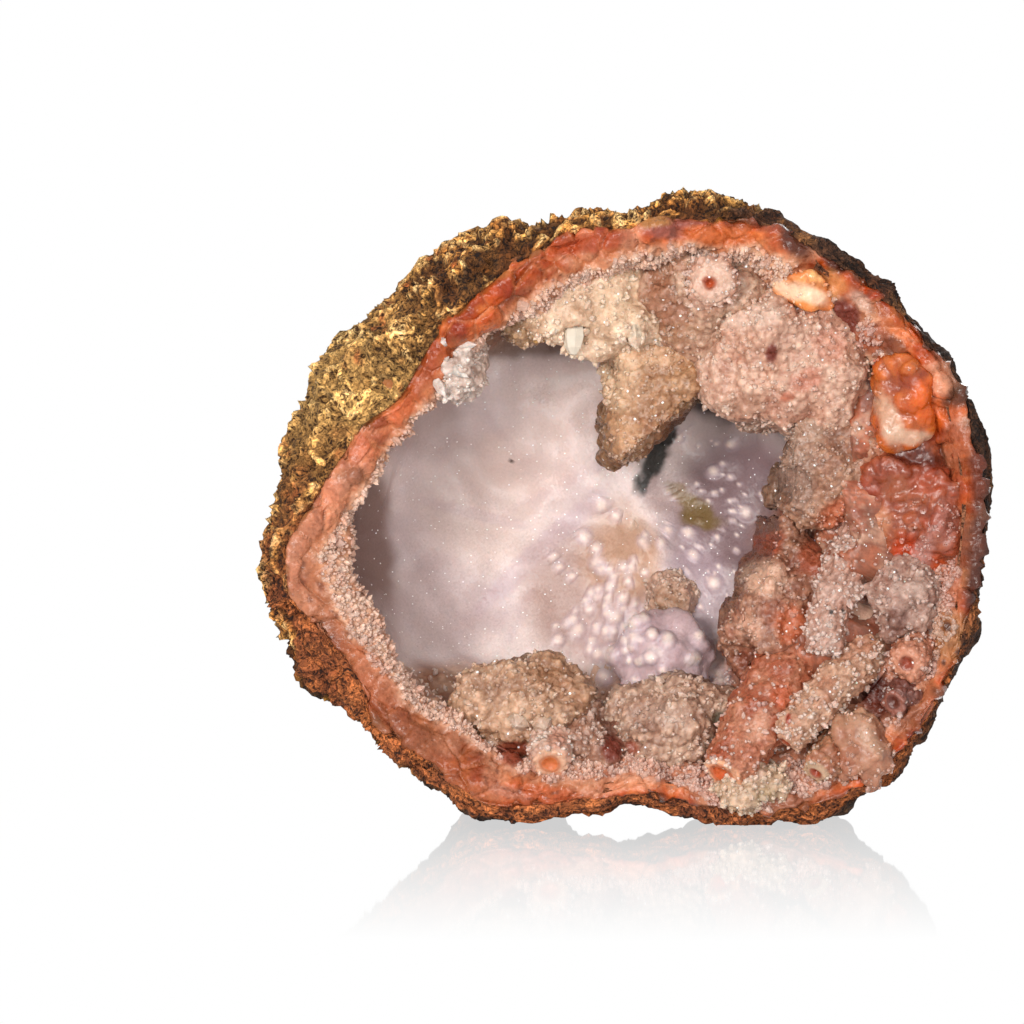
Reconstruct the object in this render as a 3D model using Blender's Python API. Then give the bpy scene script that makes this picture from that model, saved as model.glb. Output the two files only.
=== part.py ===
"""Half of a broken quartz geode with stalactites in its hollow.

Metres, +Z up. The half stands on its edge with its open face towards -Y. The origin is at the
middle of its box, on the ground it stands on.
"""

import math

import bmesh
import bpy
import numpy as np
from mathutils import Vector, noise

NAME = "quartz_stalactite_geode"
MM = 0.001
GAP = 0.3 * MM  # clearance between two growths that touch

# The wall is described in polar form about this line, which runs along Y.
AXIS_X, AXIS_Z = 0.0, 46.0
DEPTH = 50.0  # open face to the back, mm
SEGMENTS = 84
REST_Z = 0.0  # the ground, mm

# Outline of the nodule at its widest, by angle from +X towards +Z: (degrees, radius in mm).
OUTLINE = [
    (0, 52.3), (10, 52.4), (20, 52.3), (30, 51.2), (40, 49.6), (50, 48.0), (60, 47.8), (70, 46.9),
    (80, 44.9), (90, 42.6), (100, 43.1), (110, 43.2), (120, 44.7), (130, 45.6), (140, 45.8),
    (147, 47.6), (151, 50.4), (156, 49.2), (162, 48.9), (170, 50.8), (180, 51.3), (190, 52.6),
    (200, 53.8), (206, 53.4), (212, 50.8), (220, 49.6), (230, 48.1), (237, 48.2), (244, 49.6),
    (251, 48.4), (258, 45.2), (264, 43.2), (270, 42.4), (276, 43.0), (282, 44.8), (288, 47.4),
    (294, 50.0), (300, 52.4), (307, 53.4), (313, 55.0), (320, 54.4), (330, 53.9), (340, 53.2),
    (350, 52.0),
]
# How far behind the broken rim the nodule is at its widest, mm. The rind shows where this is large.
WIDEST_AT = [
    (0, 5), (40, 5), (60, 5), (80, 6), (100, 9), (120, 14), (135, 17), (150, 19), (165, 17),
    (178, 12), (188, 8), (196, 9), (205, 11), (214, 9), (222, 5), (240, 5), (300, 5), (330, 5),
]
# Outer edge of the broken rim, mm.
RIM_OUTER = [
    (0, 51.2), (20, 51.0), (40, 48.2), (50, 46.6), (60, 46.2), (70, 45.0), (80, 43.0), (90, 40.8),
    (100, 41.0), (110, 39.8), (120, 38.4), (130, 37.8), (140, 37.4), (150, 36.6), (156, 37.2),
    (162, 40.4), (170, 42.4), (178, 45.6), (186, 50.0), (194, 51.4), (200, 48.8), (206, 46.8),
    (213, 46.6), (220, 48.4), (230, 46.8), (244, 48.0), (258, 43.8), (270, 41.0), (282, 43.4),
    (294, 48.4), (307, 52.0), (320, 53.2), (340, 52.0),
]
# Inner lip of the rim, where the hollow starts, mm.
LIP = [
    (0, 46.5), (20, 45.5), (40, 42.5), (60, 39.5), (80, 37.0), (100, 34.0), (115, 32.0),
    (128, 32.4), (140, 31.6), (150, 32.2), (160, 34.2), (170, 35.8), (178, 39.2), (186, 42.6),
    (192, 43.6), (200, 40.0), (210, 39.2), (220, 40.8), (232, 39.4), (245, 41.0), (258, 38.4),
    (270, 36.6), (282, 38.4), (300, 45.0), (320, 47.5), (340, 47.6),
]
# Halfway down the hollow's wall: radius and depth, mm.
WAIST_R = [
    (0, 34.0), (30, 33.5), (60, 32.5), (90, 33.0), (120, 35.0), (150, 36.0), (165, 37.0),
    (180, 40.0), (192, 42.5), (205, 41.5), (220, 41.0), (240, 39.0), (270, 34.0), (300, 35.0),
    (330, 35.0),
]
WAIST_Y = [
    (0, 11), (60, 12), (90, 14), (120, 16), (150, 16), (180, 16), (210, 16), (240, 14), (270, 12),
    (300, 11), (330, 11),
]
# Where the wall turns into the floor of the hollow: radius and depth, mm.
FLOOR_R = [
    (0, 23.0), (30, 22.0), (60, 22.5), (90, 25.0), (120, 27.5), (150, 27.5), (180, 31.0),
    (210, 30.5), (240, 29.0), (270, 25.5), (300, 25.0), (330, 24.0),
]
FLOOR_Y = [
    (0, 25), (30, 26), (60, 28), (90, 29), (120, 29), (180, 29), (210, 29), (240, 28), (270, 26),
    (300, 24), (330, 24),
]
FLOOR_MIDDLE_Y = 30.0
BOWL = (-18.0, 48.0, 11.0, 3.0)  # x, z, spread and extra depth of the chalcedony bowl, mm
HOLE = (13.0, 54.0, 7.0, 6.5)  # the same for the deep hole right of it

# How blunt the back is. Two ridges under it run back from the rim, and the half stands on them.
BLUNT_BACK = 2.1
BLUNT_FOOT = 6.0
FOOT_ANGLES = (244.0, 298.0)
FOOT_SPREAD = 13.0
FOOT_SWELL = 0.12  # how far the ridges stand out, as a share of the radius
FOOT_Y, FOOT_LENGTH = 32.0, 12.0

ROWS_BACK, ROWS_FLANK, ROWS_RIM, ROWS_HOLLOW = 8, 4, 3, 10
ROWS = ROWS_BACK + ROWS_FLANK + ROWS_RIM + ROWS_HOLLOW

SHELL_COLOUR = (0.56, 0.33, 0.20)
QUARTZ = (0.78, 0.66, 0.60)
DRUSE = (0.63, 0.46, 0.33)
PINK = (0.62, 0.36, 0.28)
SALMON = (0.55, 0.23, 0.13)
ORANGE = (0.75, 0.19, 0.05)
LILAC = (0.55, 0.44, 0.47)

LUMP, LUMP_LEVEL = 0.36, 0.42  # height of the rounded lumps on a mass, and the level they rise from

# Stalactites: name, colour, seed, then the points of each middle line as (x, y, z, radius) in mm,
# from the root in the wall to the free end.
FINGERS = [
    ("stalactite_top", PINK, 11, [(12.4, 14.0, 81.0, 4.2), (12.0, 7.0, 79.6, 4.3), (11.6, 0.4, 78.7, 3.6)]),
    ("stalactite_white", QUARTZ, 12,
     [(34.4, 9.5, 42.4, 3.0), (31.4, 6.0, 36.8, 3.0), (29.4, 3.8, 31.0, 2.9), (28.0, 2.8, 25.4, 2.4)]),
    ("stalactite_salmon", SALMON, 13,
     [(27.0, 13.0, 26.6, 4.6), (22.4, 7.4, 20.6, 5.0), (17.4, 2.6, 13.4, 4.5), (13.7, -1.2, 8.2, 3.4)]),
    ("stalactite_long", QUARTZ, 14,
     [(36.0, 7.6, 26.4, 2.8), (31.8, 3.6, 22.0, 3.0), (26.4, 0.8, 17.0, 2.9), (22.8, -0.8, 12.8, 2.3)]),
    ("stalactite_ring_small", SALMON, 15, [(33.2, 8.6, 14.6, 3.0), (30.2, 3.4, 11.6, 3.0), (27.2, -0.8, 8.2, 2.4)]),
    ("stalactite_ring_right", PINK, 16, [(42.6, 8.0, 25.6, 3.2), (41.4, 3.6, 24.8, 3.4), (40.2, -0.2, 23.9, 2.7)]),
    ("stalactite_lilac", LILAC, 17, [(42.0, 7.6, 19.2, 2.4), (40.2, 3.2, 18.9, 2.6), (38.4, 0.2, 18.2, 2.0)]),
    ("stalactite_bottom", PINK, 18, [(-10.6, 9.0, 12.6, 3.2), (-11.4, 4.6, 11.2, 3.3), (-11.6, 0.8, 9.4, 2.7)]),
    ("teardrop_crystal", QUARTZ, 19, [(-8.0, 6.0, 75.4, 1.0), (-8.1, 5.4, 72.4, 1.6), (-8.2, 5.0, 69.4, 1.3)]),
]

# Grown masses: name, colour, seed, middle, half sizes and turn about Y in degrees, mm.
MASSES = [
    ("quartz_fan", DRUSE, 31, (-7.0, 7.8, 76.2), (11.8, 4.6, 7.2), -14),
    ("druse_lump_brown", DRUSE, 32, (-15.6, 9.8, 72.8), (4.8, 4.4, 3.8), 10),
    ("druse_tongue", QUARTZ, 33, (-25.6, 5.8, 67.4), (4.4, 4.4, 5.4), 20),
    ("druse_crown", PINK, 45, (12.0, 8.8, 78.0), (10.6, 6.8, 7.4), -6),
    ("druse_curtain", DRUSE, 34, (5.4, 16.0, 61.6), (10.0, 9.0, 12.2), 14),
    ("stalactite_mass_pink", PINK, 35, (24.0, 9.0, 67.8), (11.4, 8.8, 10.8), 0),
    ("carnelian_chunk", ORANGE, 46, (26.0, 4.6, 79.4), (6.6, 4.0, 4.0), -24),
    ("carnelian_lobe", ORANGE, 50, (40.6, 4.0, 62.8), (5.4, 4.4, 7.2), -12),
    ("druse_slope", DRUSE, 37, (30.4, 12.6, 53.4), (11.4, 8.4, 11.0), -6),
    ("salmon_shelf", SALMON, 49, (42.0, 7.4, 47.4), (7.6, 5.8, 9.8), 4),
    ("druse_knob", DRUSE, 38, (4.0, 25.8, 36.0), (7.2, 6.0, 8.2), -16),
    ("quartz_flange", QUARTZ, 39, (40.4, 5.2, 32.0), (5.2, 4.8, 5.6), 0),
    ("salmon_cluster", SALMON, 40, (21.4, 12.8, 30.6), (9.8, 8.6, 11.2), 12),
    ("quartz_shell_fan", PINK, 41, (33.4, 1.6, 10.4), (5.4, 3.8, 5.2), 30),
    ("druse_foot", DRUSE, 42, (17.2, 1.4, 5.4), (5.8, 3.4, 3.8), 0),
    ("druse_fan_bottom", DRUSE, 43, (-15.2, 10.4, 17.2), (9.8, 7.4, 6.8), 8),
    ("druse_lump_bottom", DRUSE, 44, (-5.2, 7.0, 11.0), (5.0, 4.8, 4.6), 0),
    ("druse_bed_bottom", DRUSE, 47, (5.8, 9.6, 12.4), (10.0, 6.6, 5.8), 6),
    ("chalcedony_lobe", LILAC, 48, (6.0, 20.0, 22.0), (7.2, 6.0, 6.8), 0),
]


def clear_scene():
    for obj in list(bpy.data.objects):
        bpy.data.objects.remove(obj)


def new_collection(name):
    made = bpy.data.collections.new(name)
    bpy.context.scene.collection.children.link(made)
    return made


def material(name, colour, roughness):
    made = bpy.data.materials.new(name)
    made.use_nodes = True
    shader = made.node_tree.nodes["Principled BSDF"]
    shader.inputs["Base Color"].default_value = (*colour, 1.0)
    shader.inputs["Roughness"].default_value = roughness
    made.diffuse_color = (*colour, 1.0)
    return made


def around(table, degrees):
    """Value of a periodic table at an angle, eased between its entries."""
    angles = [entry[0] for entry in table] + [table[0][0] + 360]
    values = [entry[1] for entry in table] + [table[0][1]]
    degrees = (degrees - angles[0]) % 360 + angles[0]
    after = next(i for i, angle in enumerate(angles) if angle >= degrees and i > 0)
    share = (degrees - angles[after - 1]) / (angles[after] - angles[after - 1])
    eased = share * share * (3 - 2 * share) * 0.5 + share * 0.5
    return values[after - 1] + (values[after] - values[after - 1]) * eased


def bump(value, middle, spread):
    return math.exp(-(((value - middle) / spread) ** 2) / 2)


def hermite(a, b, c, d, t):
    """Catmull-Rom value between b and c."""
    return 0.5 * (2 * b + (c - a) * t + (2 * a - 5 * b + 4 * c - d) * t**2 + (3 * b - a - 3 * c + d) * t**3)


def foot_share(degrees):
    return max(bump(degrees, angle, FOOT_SPREAD) for angle in FOOT_ANGLES)


def back_point(degrees, share):
    """Outside of the nodule, from the back pole (share 0) to its widest ring (share 1)."""
    widest_y = around(WIDEST_AT, degrees)
    turn = share * math.pi / 2
    blunt = BLUNT_BACK + (BLUNT_FOOT - BLUNT_BACK) * foot_share(degrees)
    radius = around(OUTLINE, degrees) * math.sin(turn) ** (2 / blunt)
    y = widest_y + (DEPTH - widest_y) * math.cos(turn) ** (2 / BLUNT_BACK)
    return radius * (1 + FOOT_SWELL * foot_share(degrees) * bump(y, FOOT_Y, FOOT_LENGTH)), y


def flank_point(degrees, share):
    """Rind between the widest ring and the rim's outer edge."""
    outline, edge = around(OUTLINE, degrees), around(RIM_OUTER, degrees)
    widest_y = around(WIDEST_AT, degrees)
    turn = share * math.pi / 2
    return edge + (outline - edge) * math.cos(turn) ** 0.9, widest_y - (widest_y - 0.8) * math.sin(turn)


def rim_point(degrees, share):
    """Broken face of the wall, from its outer edge to the lip of the hollow."""
    edge, lip = around(RIM_OUTER, degrees), around(LIP, degrees)
    return edge + (lip - edge) * share, 0.8 + 3.2 * share**2 - 0.8 * math.sin(math.pi * share)


def hollow_point(degrees, share):
    """Inside of the hollow, from the lip (share 0) to the pole on its floor (share 1)."""
    stations = [rim_point(degrees, 0.7), rim_point(degrees, 1.0)]
    stations.append((around(WAIST_R, degrees), around(WAIST_Y, degrees)))
    stations.append((around(FLOOR_R, degrees), around(FLOOR_Y, degrees)))
    stations.append((0.0, FLOOR_MIDDLE_Y))
    stations.append((-around(FLOOR_R, degrees + 180), around(FLOOR_Y, degrees + 180)))
    place = share * 3
    index = min(int(place), 2)
    near = stations[index:index + 4]
    return tuple(hermite(*(station[axis] for station in near), place - index) for axis in (0, 1))


def wall_point(degrees, row):
    """(x, y, z) in mm of the wall's surface, at a row that runs from the back pole to the hollow's."""
    sections = [(ROWS_BACK, back_point), (ROWS_FLANK, flank_point), (ROWS_RIM, rim_point),
                (ROWS_HOLLOW, hollow_point)]
    for count, section in sections:
        if row <= count or section is hollow_point:
            radius, y = section(degrees, row / count)
            break
        row -= count
    x = AXIS_X + radius * math.cos(math.radians(degrees))
    z = AXIS_Z + radius * math.sin(math.radians(degrees))
    if section is hollow_point:
        y += sum(depth * bump(x, px, spread) * bump(z, pz, spread) for px, pz, spread, depth in (BOWL, HOLE))
    return Vector((x, y, z))


def roughen(point, normal, size, height, seed):
    """Point moved along its normal by lumps of one size, mm."""
    return point + normal * height * noise.noise(point / size + Vector((seed, seed * 2.7, seed * 0.4)))


def triangles_outwards(made):
    """Triangles that all face out, so that a piece and the cutter made from it share their edges."""
    bmesh.ops.triangulate(made, faces=made.faces)
    if made.calc_volume(signed=True) < 0:
        bmesh.ops.reverse_faces(made, faces=made.faces)
    made.normal_update()


def swollen(made, swell):
    """Every point moved outwards so that each face ends up the swell away from where it was."""
    return [v.co + v.normal * swell * v.calc_shell_factor() for v in made.verts]


def wall_mesh(name, swell):
    """The wall as one closed skin. A swell in mm moves the whole skin outwards along its normals."""
    sphere = bmesh.new()
    bmesh.ops.create_uvsphere(sphere, u_segments=SEGMENTS, v_segments=ROWS, radius=1)
    for vertex in sphere.verts:
        row = round(math.acos(max(-1.0, min(1.0, vertex.co.z))) / math.pi * ROWS)
        degrees = math.degrees(math.atan2(vertex.co.y, vertex.co.x)) % 360
        vertex.co = wall_point(degrees, row)
    triangles_outwards(sphere)
    moved = [roughen(v.co, v.normal, 13.0, 2.2, 1.0) for v in sphere.verts]
    moved = [roughen(p, v.normal, 5.0, 1.1, 2.0) for p, v in zip(moved, sphere.verts)]
    for vertex, point in zip(sphere.verts, moved):
        vertex.co = point
    sphere.normal_update()
    moved = swollen(sphere, swell)
    for vertex, point in zip(sphere.verts, moved):
        point.z = max(point.z, REST_Z - swell)
        vertex.co = point * MM
    mesh = bpy.data.meshes.new(name)
    sphere.to_mesh(mesh)
    sphere.free()
    return mesh


def along(points, share):
    """Point and radius at a share of a middle line given as (x, y, z, radius)."""
    count = len(points) - 1
    place = min(share, 1.0) * count
    index = min(int(place), count - 1)
    picked = [points[max(0, min(count, index + step))] for step in (-1, 0, 1, 2)]
    values = [hermite(*(point[axis] for point in picked), place - index) for axis in range(4)]
    return Vector(values[:3]), values[3]


def finger_mesh(name, points, seed, swell, sides=12, rings=11):
    """Stalactite: a sphere drawn out along its middle line, blunt at both ends."""
    sphere = bmesh.new()
    bmesh.ops.create_uvsphere(sphere, u_segments=sides, v_segments=rings, radius=1)
    for vertex in sphere.verts:
        height = max(-1.0, min(1.0, vertex.co.z))
        share = (1 - height) / 2
        centre, radius = along(points, share)
        ahead = along(points, min(share + 0.02, 1.0))[0] - along(points, max(share - 0.02, 0.0))[0]
        turn = Vector((0, 0, 1)).rotation_difference(ahead)
        flat = Vector((vertex.co.x, vertex.co.y, 0))
        round_end = (1 - abs(height) ** 5) ** 0.5
        side = turn @ (flat.normalized() * round_end) if flat.length > 1e-6 else Vector()
        vertex.co = centre + side * radius
        vertex.co += side * radius * 0.16 * noise.noise(vertex.co / 2.6 + Vector((seed, 0, 0)))
    return finish_growth(name, sphere, swell)


def mass_mesh(name, centre, half, turn, seed, swell):
    """Grown mass: a ball stretched to its half sizes and covered in lumps."""
    ball = bmesh.new()
    bmesh.ops.create_uvsphere(ball, u_segments=18, v_segments=11, radius=1)
    cos, sin = math.cos(math.radians(turn)), math.sin(math.radians(turn))
    for vertex in ball.verts:
        nearest = noise.voronoi(vertex.co * 1.7 + Vector((seed, 0, 0)))[0][0]
        lumps = 1 + 0.3 * noise.noise(vertex.co * 1.4 + Vector((0, seed, 0))) + LUMP * (LUMP_LEVEL - nearest)
        x, y, z = (vertex.co[axis] * half[axis] * lumps for axis in range(3))
        vertex.co = Vector((centre[0] + x * cos - z * sin, centre[1] + y, centre[2] + x * sin + z * cos))
    return finish_growth(name, ball, swell)


def finish_growth(name, made, swell):
    triangles_outwards(made)
    moved = swollen(made, swell)
    for vertex, point in zip(made.verts, moved):
        point.z = max(point.z, REST_Z + 0.4 - swell)
        vertex.co = point * MM
    mesh = bpy.data.meshes.new(name)
    made.to_mesh(mesh)
    made.free()
    return mesh


def place(name, mesh, collection):
    obj = bpy.data.objects.new(name, mesh)
    collection.objects.link(obj)
    for face in mesh.polygons:
        face.use_smooth = True
    return obj


def place_cutter(name, mesh, collection):
    obj = place(name, mesh, collection)
    obj.hide_render = True
    obj.display_type = "WIRE"
    return obj


def cut(obj, cutter):
    modifier = obj.modifiers.new("clear_of_" + cutter.name, "BOOLEAN")
    modifier.operation = "DIFFERENCE"
    modifier.solver = "EXACT"
    modifier.object = cutter


def box_of(mesh):
    points = np.array([vertex.co[:] for vertex in mesh.vertices])
    return points.min(axis=0), points.max(axis=0)


def boxes_meet(one, other):
    return bool((one[0] < other[1]).all() and (other[0] < one[1]).all())


def all_round(parts):
    """Corners of the box round every finished piece."""
    graph = bpy.context.evaluated_depsgraph_get()
    boxes = [box_of(obj.evaluated_get(graph).data) for obj in parts.objects if obj.type == "MESH"]
    return np.min([low for low, high in boxes], axis=0), np.max([high for low, high in boxes], axis=0)


def build():
    clear_scene()
    parts, cutters = new_collection(NAME), new_collection("cutters")
    shell = place("geode_shell", wall_mesh("geode_shell", 0.0), parts)
    shell.data.materials.append(material("geode_shell", SHELL_COLOUR, 0.55))
    swell = GAP / MM
    wall_cutter = place_cutter("wall_cutter", wall_mesh("wall_cutter", swell), cutters)
    makers = [(name, colour, lambda made, extra, p=points, s=seed: finger_mesh(made, p, s, extra))
              for name, colour, seed, points in FINGERS]
    makers += [(name, colour, lambda made, extra, c=centre, h=half, t=turn, s=seed: mass_mesh(made, c, h, t, s, extra))
               for name, colour, seed, centre, half, turn in MASSES]
    stand = bpy.data.objects.new("stand_point", None)
    parts.objects.link(stand)
    earlier = []
    for name, colour, make in makers:
        obj = place(name, make(name, 0.0), parts)
        obj.data.materials.append(material(name, colour, 0.35))
        cut(obj, wall_cutter)
        own_box = box_of(obj.data)
        for cutter, box in earlier:
            if boxes_meet(own_box, box):
                cut(obj, cutter)
        cutter_mesh = make(name + "_cutter", swell)
        earlier.append((place_cutter(name + "_cutter", cutter_mesh, cutters), box_of(cutter_mesh)))
    low, high = all_round(parts)
    stand.location = (-(low[0] + high[0]) / 2, -(low[1] + high[1]) / 2, -low[2])
    for obj in [*parts.objects, *cutters.objects]:
        if obj is not stand:
            obj.parent = stand


build()
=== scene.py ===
import itertools
import math

import bpy
import numpy as np
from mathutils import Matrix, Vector, noise


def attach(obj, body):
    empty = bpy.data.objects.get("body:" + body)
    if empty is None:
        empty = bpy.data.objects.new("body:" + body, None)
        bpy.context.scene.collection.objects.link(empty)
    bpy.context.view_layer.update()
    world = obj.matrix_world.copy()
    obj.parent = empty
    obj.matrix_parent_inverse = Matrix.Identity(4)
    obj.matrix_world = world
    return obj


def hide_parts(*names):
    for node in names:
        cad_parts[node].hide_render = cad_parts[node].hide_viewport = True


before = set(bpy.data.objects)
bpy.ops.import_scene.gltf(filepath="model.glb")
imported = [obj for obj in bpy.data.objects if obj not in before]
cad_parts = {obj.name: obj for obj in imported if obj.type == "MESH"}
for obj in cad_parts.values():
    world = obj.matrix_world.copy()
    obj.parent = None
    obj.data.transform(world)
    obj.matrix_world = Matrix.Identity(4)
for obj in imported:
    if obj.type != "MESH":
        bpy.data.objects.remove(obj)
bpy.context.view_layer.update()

# Shapes are worked out in mm, in the wall's own coordinates, and moved to the frame at the end.
MM = 0.001
STAND = np.array((0.12, -23.71, 0.0))
AXIS_X, AXIS_Z = 0.0, 46.0
DEPTH = 50.0

# The wall's sections by angle from +X towards +Z, as in the CAD: (degrees, mm).
OUTLINE = [
    (0, 52.3), (10, 52.4), (20, 52.3), (30, 51.2), (40, 49.6), (50, 48), (60, 47.8), (70, 46.9), (80, 44.9),
    (90, 42.6), (100, 43.1), (110, 43.2), (120, 44.7), (130, 45.6), (140, 45.8), (147, 47.6), (151, 50.4),
    (156, 49.2), (162, 48.9), (170, 50.8), (180, 51.3), (190, 52.6), (200, 53.8), (206, 53.4), (212, 50.8),
    (220, 49.6), (230, 48.1), (237, 48.2), (244, 49.6), (251, 48.4), (258, 45.2), (264, 43.2), (270, 42.4),
    (276, 43), (282, 44.8), (288, 47.4), (294, 50), (300, 52.4), (307, 53.4), (313, 55), (320, 54.4),
    (330, 53.9), (340, 53.2), (350, 52),
]
WIDEST_AT = [
    (0, 5), (40, 5), (60, 5), (80, 6), (100, 9), (120, 14), (135, 17), (150, 19), (165, 17), (178, 12),
    (188, 8), (196, 9), (205, 11), (214, 9), (222, 5), (240, 5), (300, 5), (330, 5),
]
RIM_OUTER = [
    (0, 51.2), (20, 51), (40, 48.2), (50, 46.6), (60, 46.2), (70, 45), (80, 43), (90, 40.8), (100, 41),
    (110, 39.8), (120, 38.4), (130, 37.8), (140, 37.4), (150, 36.6), (156, 37.2), (162, 40.4), (170, 42.4),
    (178, 45.6), (186, 50), (194, 51.4), (200, 48.8), (206, 46.8), (213, 46.6), (220, 48.4), (230, 46.8),
    (244, 48), (258, 43.8), (270, 41), (282, 43.4), (294, 48.4), (307, 52), (320, 53.2), (340, 52),
]
# Where the orange carnelian band ends and the white quartz starts.
CARNELIAN_IN = [
    (0, 47.5), (10, 43.5), (20, 43), (30, 45), (40, 45), (50, 42), (60, 43), (70, 41), (80, 38.4), (90, 36.6),
    (100, 35.8), (110, 35), (120, 33.4), (130, 33.2), (140, 34.4), (150, 34.4), (160, 36.2), (170, 38.4),
    (180, 42), (190, 46.6), (200, 45.2), (210, 44), (220, 43.6), (230, 42.2), (240, 42.4), (250, 41.4),
    (260, 40.4), (270, 38.6), (280, 41.6), (288, 46.4), (294, 47.6), (300, 49.4), (310, 49.8), (325, 50.4),
    (340, 50),
]
LIP = [
    (0, 46.5), (20, 45.5), (40, 42.5), (60, 39.5), (80, 37), (100, 34), (115, 32), (128, 32.4), (140, 31.6),
    (150, 32.2), (160, 34.2), (170, 35.8), (178, 39.2), (186, 42.6), (192, 43.6), (200, 40), (210, 39.2),
    (220, 40.8), (232, 39.4), (245, 41), (258, 38.4), (270, 36.6), (282, 38.4), (300, 45), (320, 47.5),
    (340, 47.6),
]
WAIST_R = [
    (0, 34), (30, 33.5), (60, 32.5), (90, 33), (120, 35), (150, 36), (165, 37), (180, 40), (192, 42.5),
    (205, 41.5), (220, 41), (240, 39), (270, 34), (300, 35), (330, 35),
]
WAIST_Y = [
    (0, 11), (60, 12), (90, 14), (120, 16), (150, 16), (180, 16), (210, 16), (240, 14), (270, 12), (300, 11),
    (330, 11),
]
FLOOR_R = [
    (0, 23), (30, 22), (60, 22.5), (90, 25), (120, 27.5), (150, 27.5), (180, 31), (210, 30.5), (240, 29),
    (270, 25.5), (300, 25), (330, 24),
]
FLOOR_Y = [
    (0, 25), (30, 26), (60, 28), (90, 29), (120, 29), (180, 29), (210, 29), (240, 28), (270, 26), (300, 24),
    (330, 24),
]
FLOOR_MIDDLE_Y = 30.0
HOLLOWS = [(-18.0, 48.0, 11.0, 3.0), (13.0, 54.0, 7.0, 6.5)]  # x, z, spread, extra depth
BLUNT_BACK, BLUNT_FOOT = 2.1, 6.0
FOOT_ANGLES, FOOT_SPREAD, FOOT_SWELL, FOOT_Y, FOOT_LENGTH = (244.0, 298.0), 13.0, 0.12, 32.0, 12.0


def rgb(red, green, blue):
    """Linear colour from 0-255 sRGB."""
    value = np.array((red, green, blue)) / 255
    return np.where(value <= 0.04045, value / 12.92, ((value + 0.055) / 1.055) ** 2.4)


# ---- numbers ----

def ease(low, high, value):
    """0 at low and 1 at high, with a soft start and end."""
    share = np.clip((value - low) / (high - low), 0, 1)
    return share * share * (3 - 2 * share)


def blend(one, other, share):
    return one + (other - one) * share


def mix(one, other, share):
    """Colour one turned into the other by a share for each point."""
    return one + (other - one) * np.asarray(share)[..., None]


def bell(value, middle, spread):
    return np.exp(-(((value - middle) / spread) ** 2) / 2)


def hashed(cell, seed):
    """A repeatable random 32-bit number for each whole-number cell."""
    x, y, z = (cell[..., axis].astype(np.int32).astype(np.uint32) for axis in range(3))
    mixed = x * np.uint32(374761393) + y * np.uint32(668265263) + z * np.uint32(1440662683)
    mixed = mixed + np.uint32(seed * 1013904223 % 4294967296)
    mixed = (mixed ^ (mixed >> np.uint32(15))) * np.uint32(2246822519)
    mixed = (mixed ^ (mixed >> np.uint32(13))) * np.uint32(3266489917)
    return mixed ^ (mixed >> np.uint32(16))


def soft_noise(points, size, seed=0):
    """Smooth noise from -1 to 1 whose bumps are about this size."""
    places = points / size
    cell = np.floor(places)
    part = places - cell
    part = part**3 * (part * (part * 6 - 15) + 10)
    total = 0
    for corner in itertools.product((0, 1), repeat=3):
        weight = np.prod(np.where(corner, part, 1 - part), axis=-1)
        total = total + weight * (hashed(cell + corner, seed) / 4294967295.0)
    return 2 * total - 1


def fractal(points, size, octaves, seed=0, gain=0.5):
    total = sum(gain**i * soft_noise(points, size / 2**i, seed + i * 17) for i in range(octaves))
    return total / sum(gain**i for i in range(octaves))


def cells(points, size, seed=0):
    """Distance to the nearest and the next of scattered points, and a random number for the nearest."""
    places = points / size
    base = np.floor(places)
    first = np.full(places.shape[:-1], 9.0)
    second, tag = first.copy(), first.copy()
    for step in itertools.product((-1, 0, 1), repeat=3):
        cell = base + step
        number = hashed(cell, seed)
        spot = np.stack([(number >> np.uint32(shift)) & np.uint32(1023) for shift in (0, 10, 20)], axis=-1)
        far = np.linalg.norm(places - cell - spot / 1023, axis=-1)
        nearer = far < first
        second = np.where(nearer, first, np.minimum(second, far))
        tag = np.where(nearer, (number % np.uint32(9973)) / 9972.0, tag)
        first = np.where(nearer, far, first)
    return first, second, tag


def ring(table, blur=7):
    """A periodic table as a function of degrees, with its corners rounded off."""
    whole = np.arange(360)
    values = np.interp(whole, [a for a, _ in table], [v for _, v in table], period=360)
    values = np.convolve(np.r_[values[-blur:], values, values[:blur]], np.ones(blur) / blur, "same")
    return lambda degrees: np.interp(degrees, whole, values[blur:-blur], period=360)


outline, widest_at, rim_outer = ring(OUTLINE, 3), ring(WIDEST_AT), ring(RIM_OUTER, 5)
carnelian_in, lip_at = ring(CARNELIAN_IN, 5), ring(LIP, 7)
waist_r, waist_y, floor_r, floor_y = ring(WAIST_R), ring(WAIST_Y), ring(FLOOR_R), ring(FLOOR_Y)


# ---- the wall's surface ----

def back_section(degrees, share):
    """From the middle of the back at share 0 to the widest outline at 1: radius and depth."""
    widest = widest_at(degrees)
    turn = share * math.pi / 2
    foot = np.maximum(*(bell(degrees, angle, FOOT_SPREAD) for angle in FOOT_ANGLES))
    blunt = BLUNT_BACK + (BLUNT_FOOT - BLUNT_BACK) * foot
    y = widest + (DEPTH - widest) * np.cos(turn) ** (2 / BLUNT_BACK)
    radius = outline(degrees) * np.sin(turn) ** (2 / blunt)
    return radius * (1 + FOOT_SWELL * foot * bell(y, FOOT_Y, FOOT_LENGTH)), y


def flank_section(degrees, share):
    """From the widest outline at share 0 to the rim at 1."""
    widest, edge = widest_at(degrees), rim_outer(degrees)
    turn = share * math.pi / 2
    radius = edge + (outline(degrees) - edge) * np.cos(turn) ** 0.9
    return radius, widest - (widest - 0.8) * np.sin(turn)


def rim_section(degrees, share):
    edge = rim_outer(degrees)
    return edge + (lip_at(degrees) - edge) * share, 0.8 + 3.2 * share**2 - 0.8 * np.sin(math.pi * share)


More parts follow.
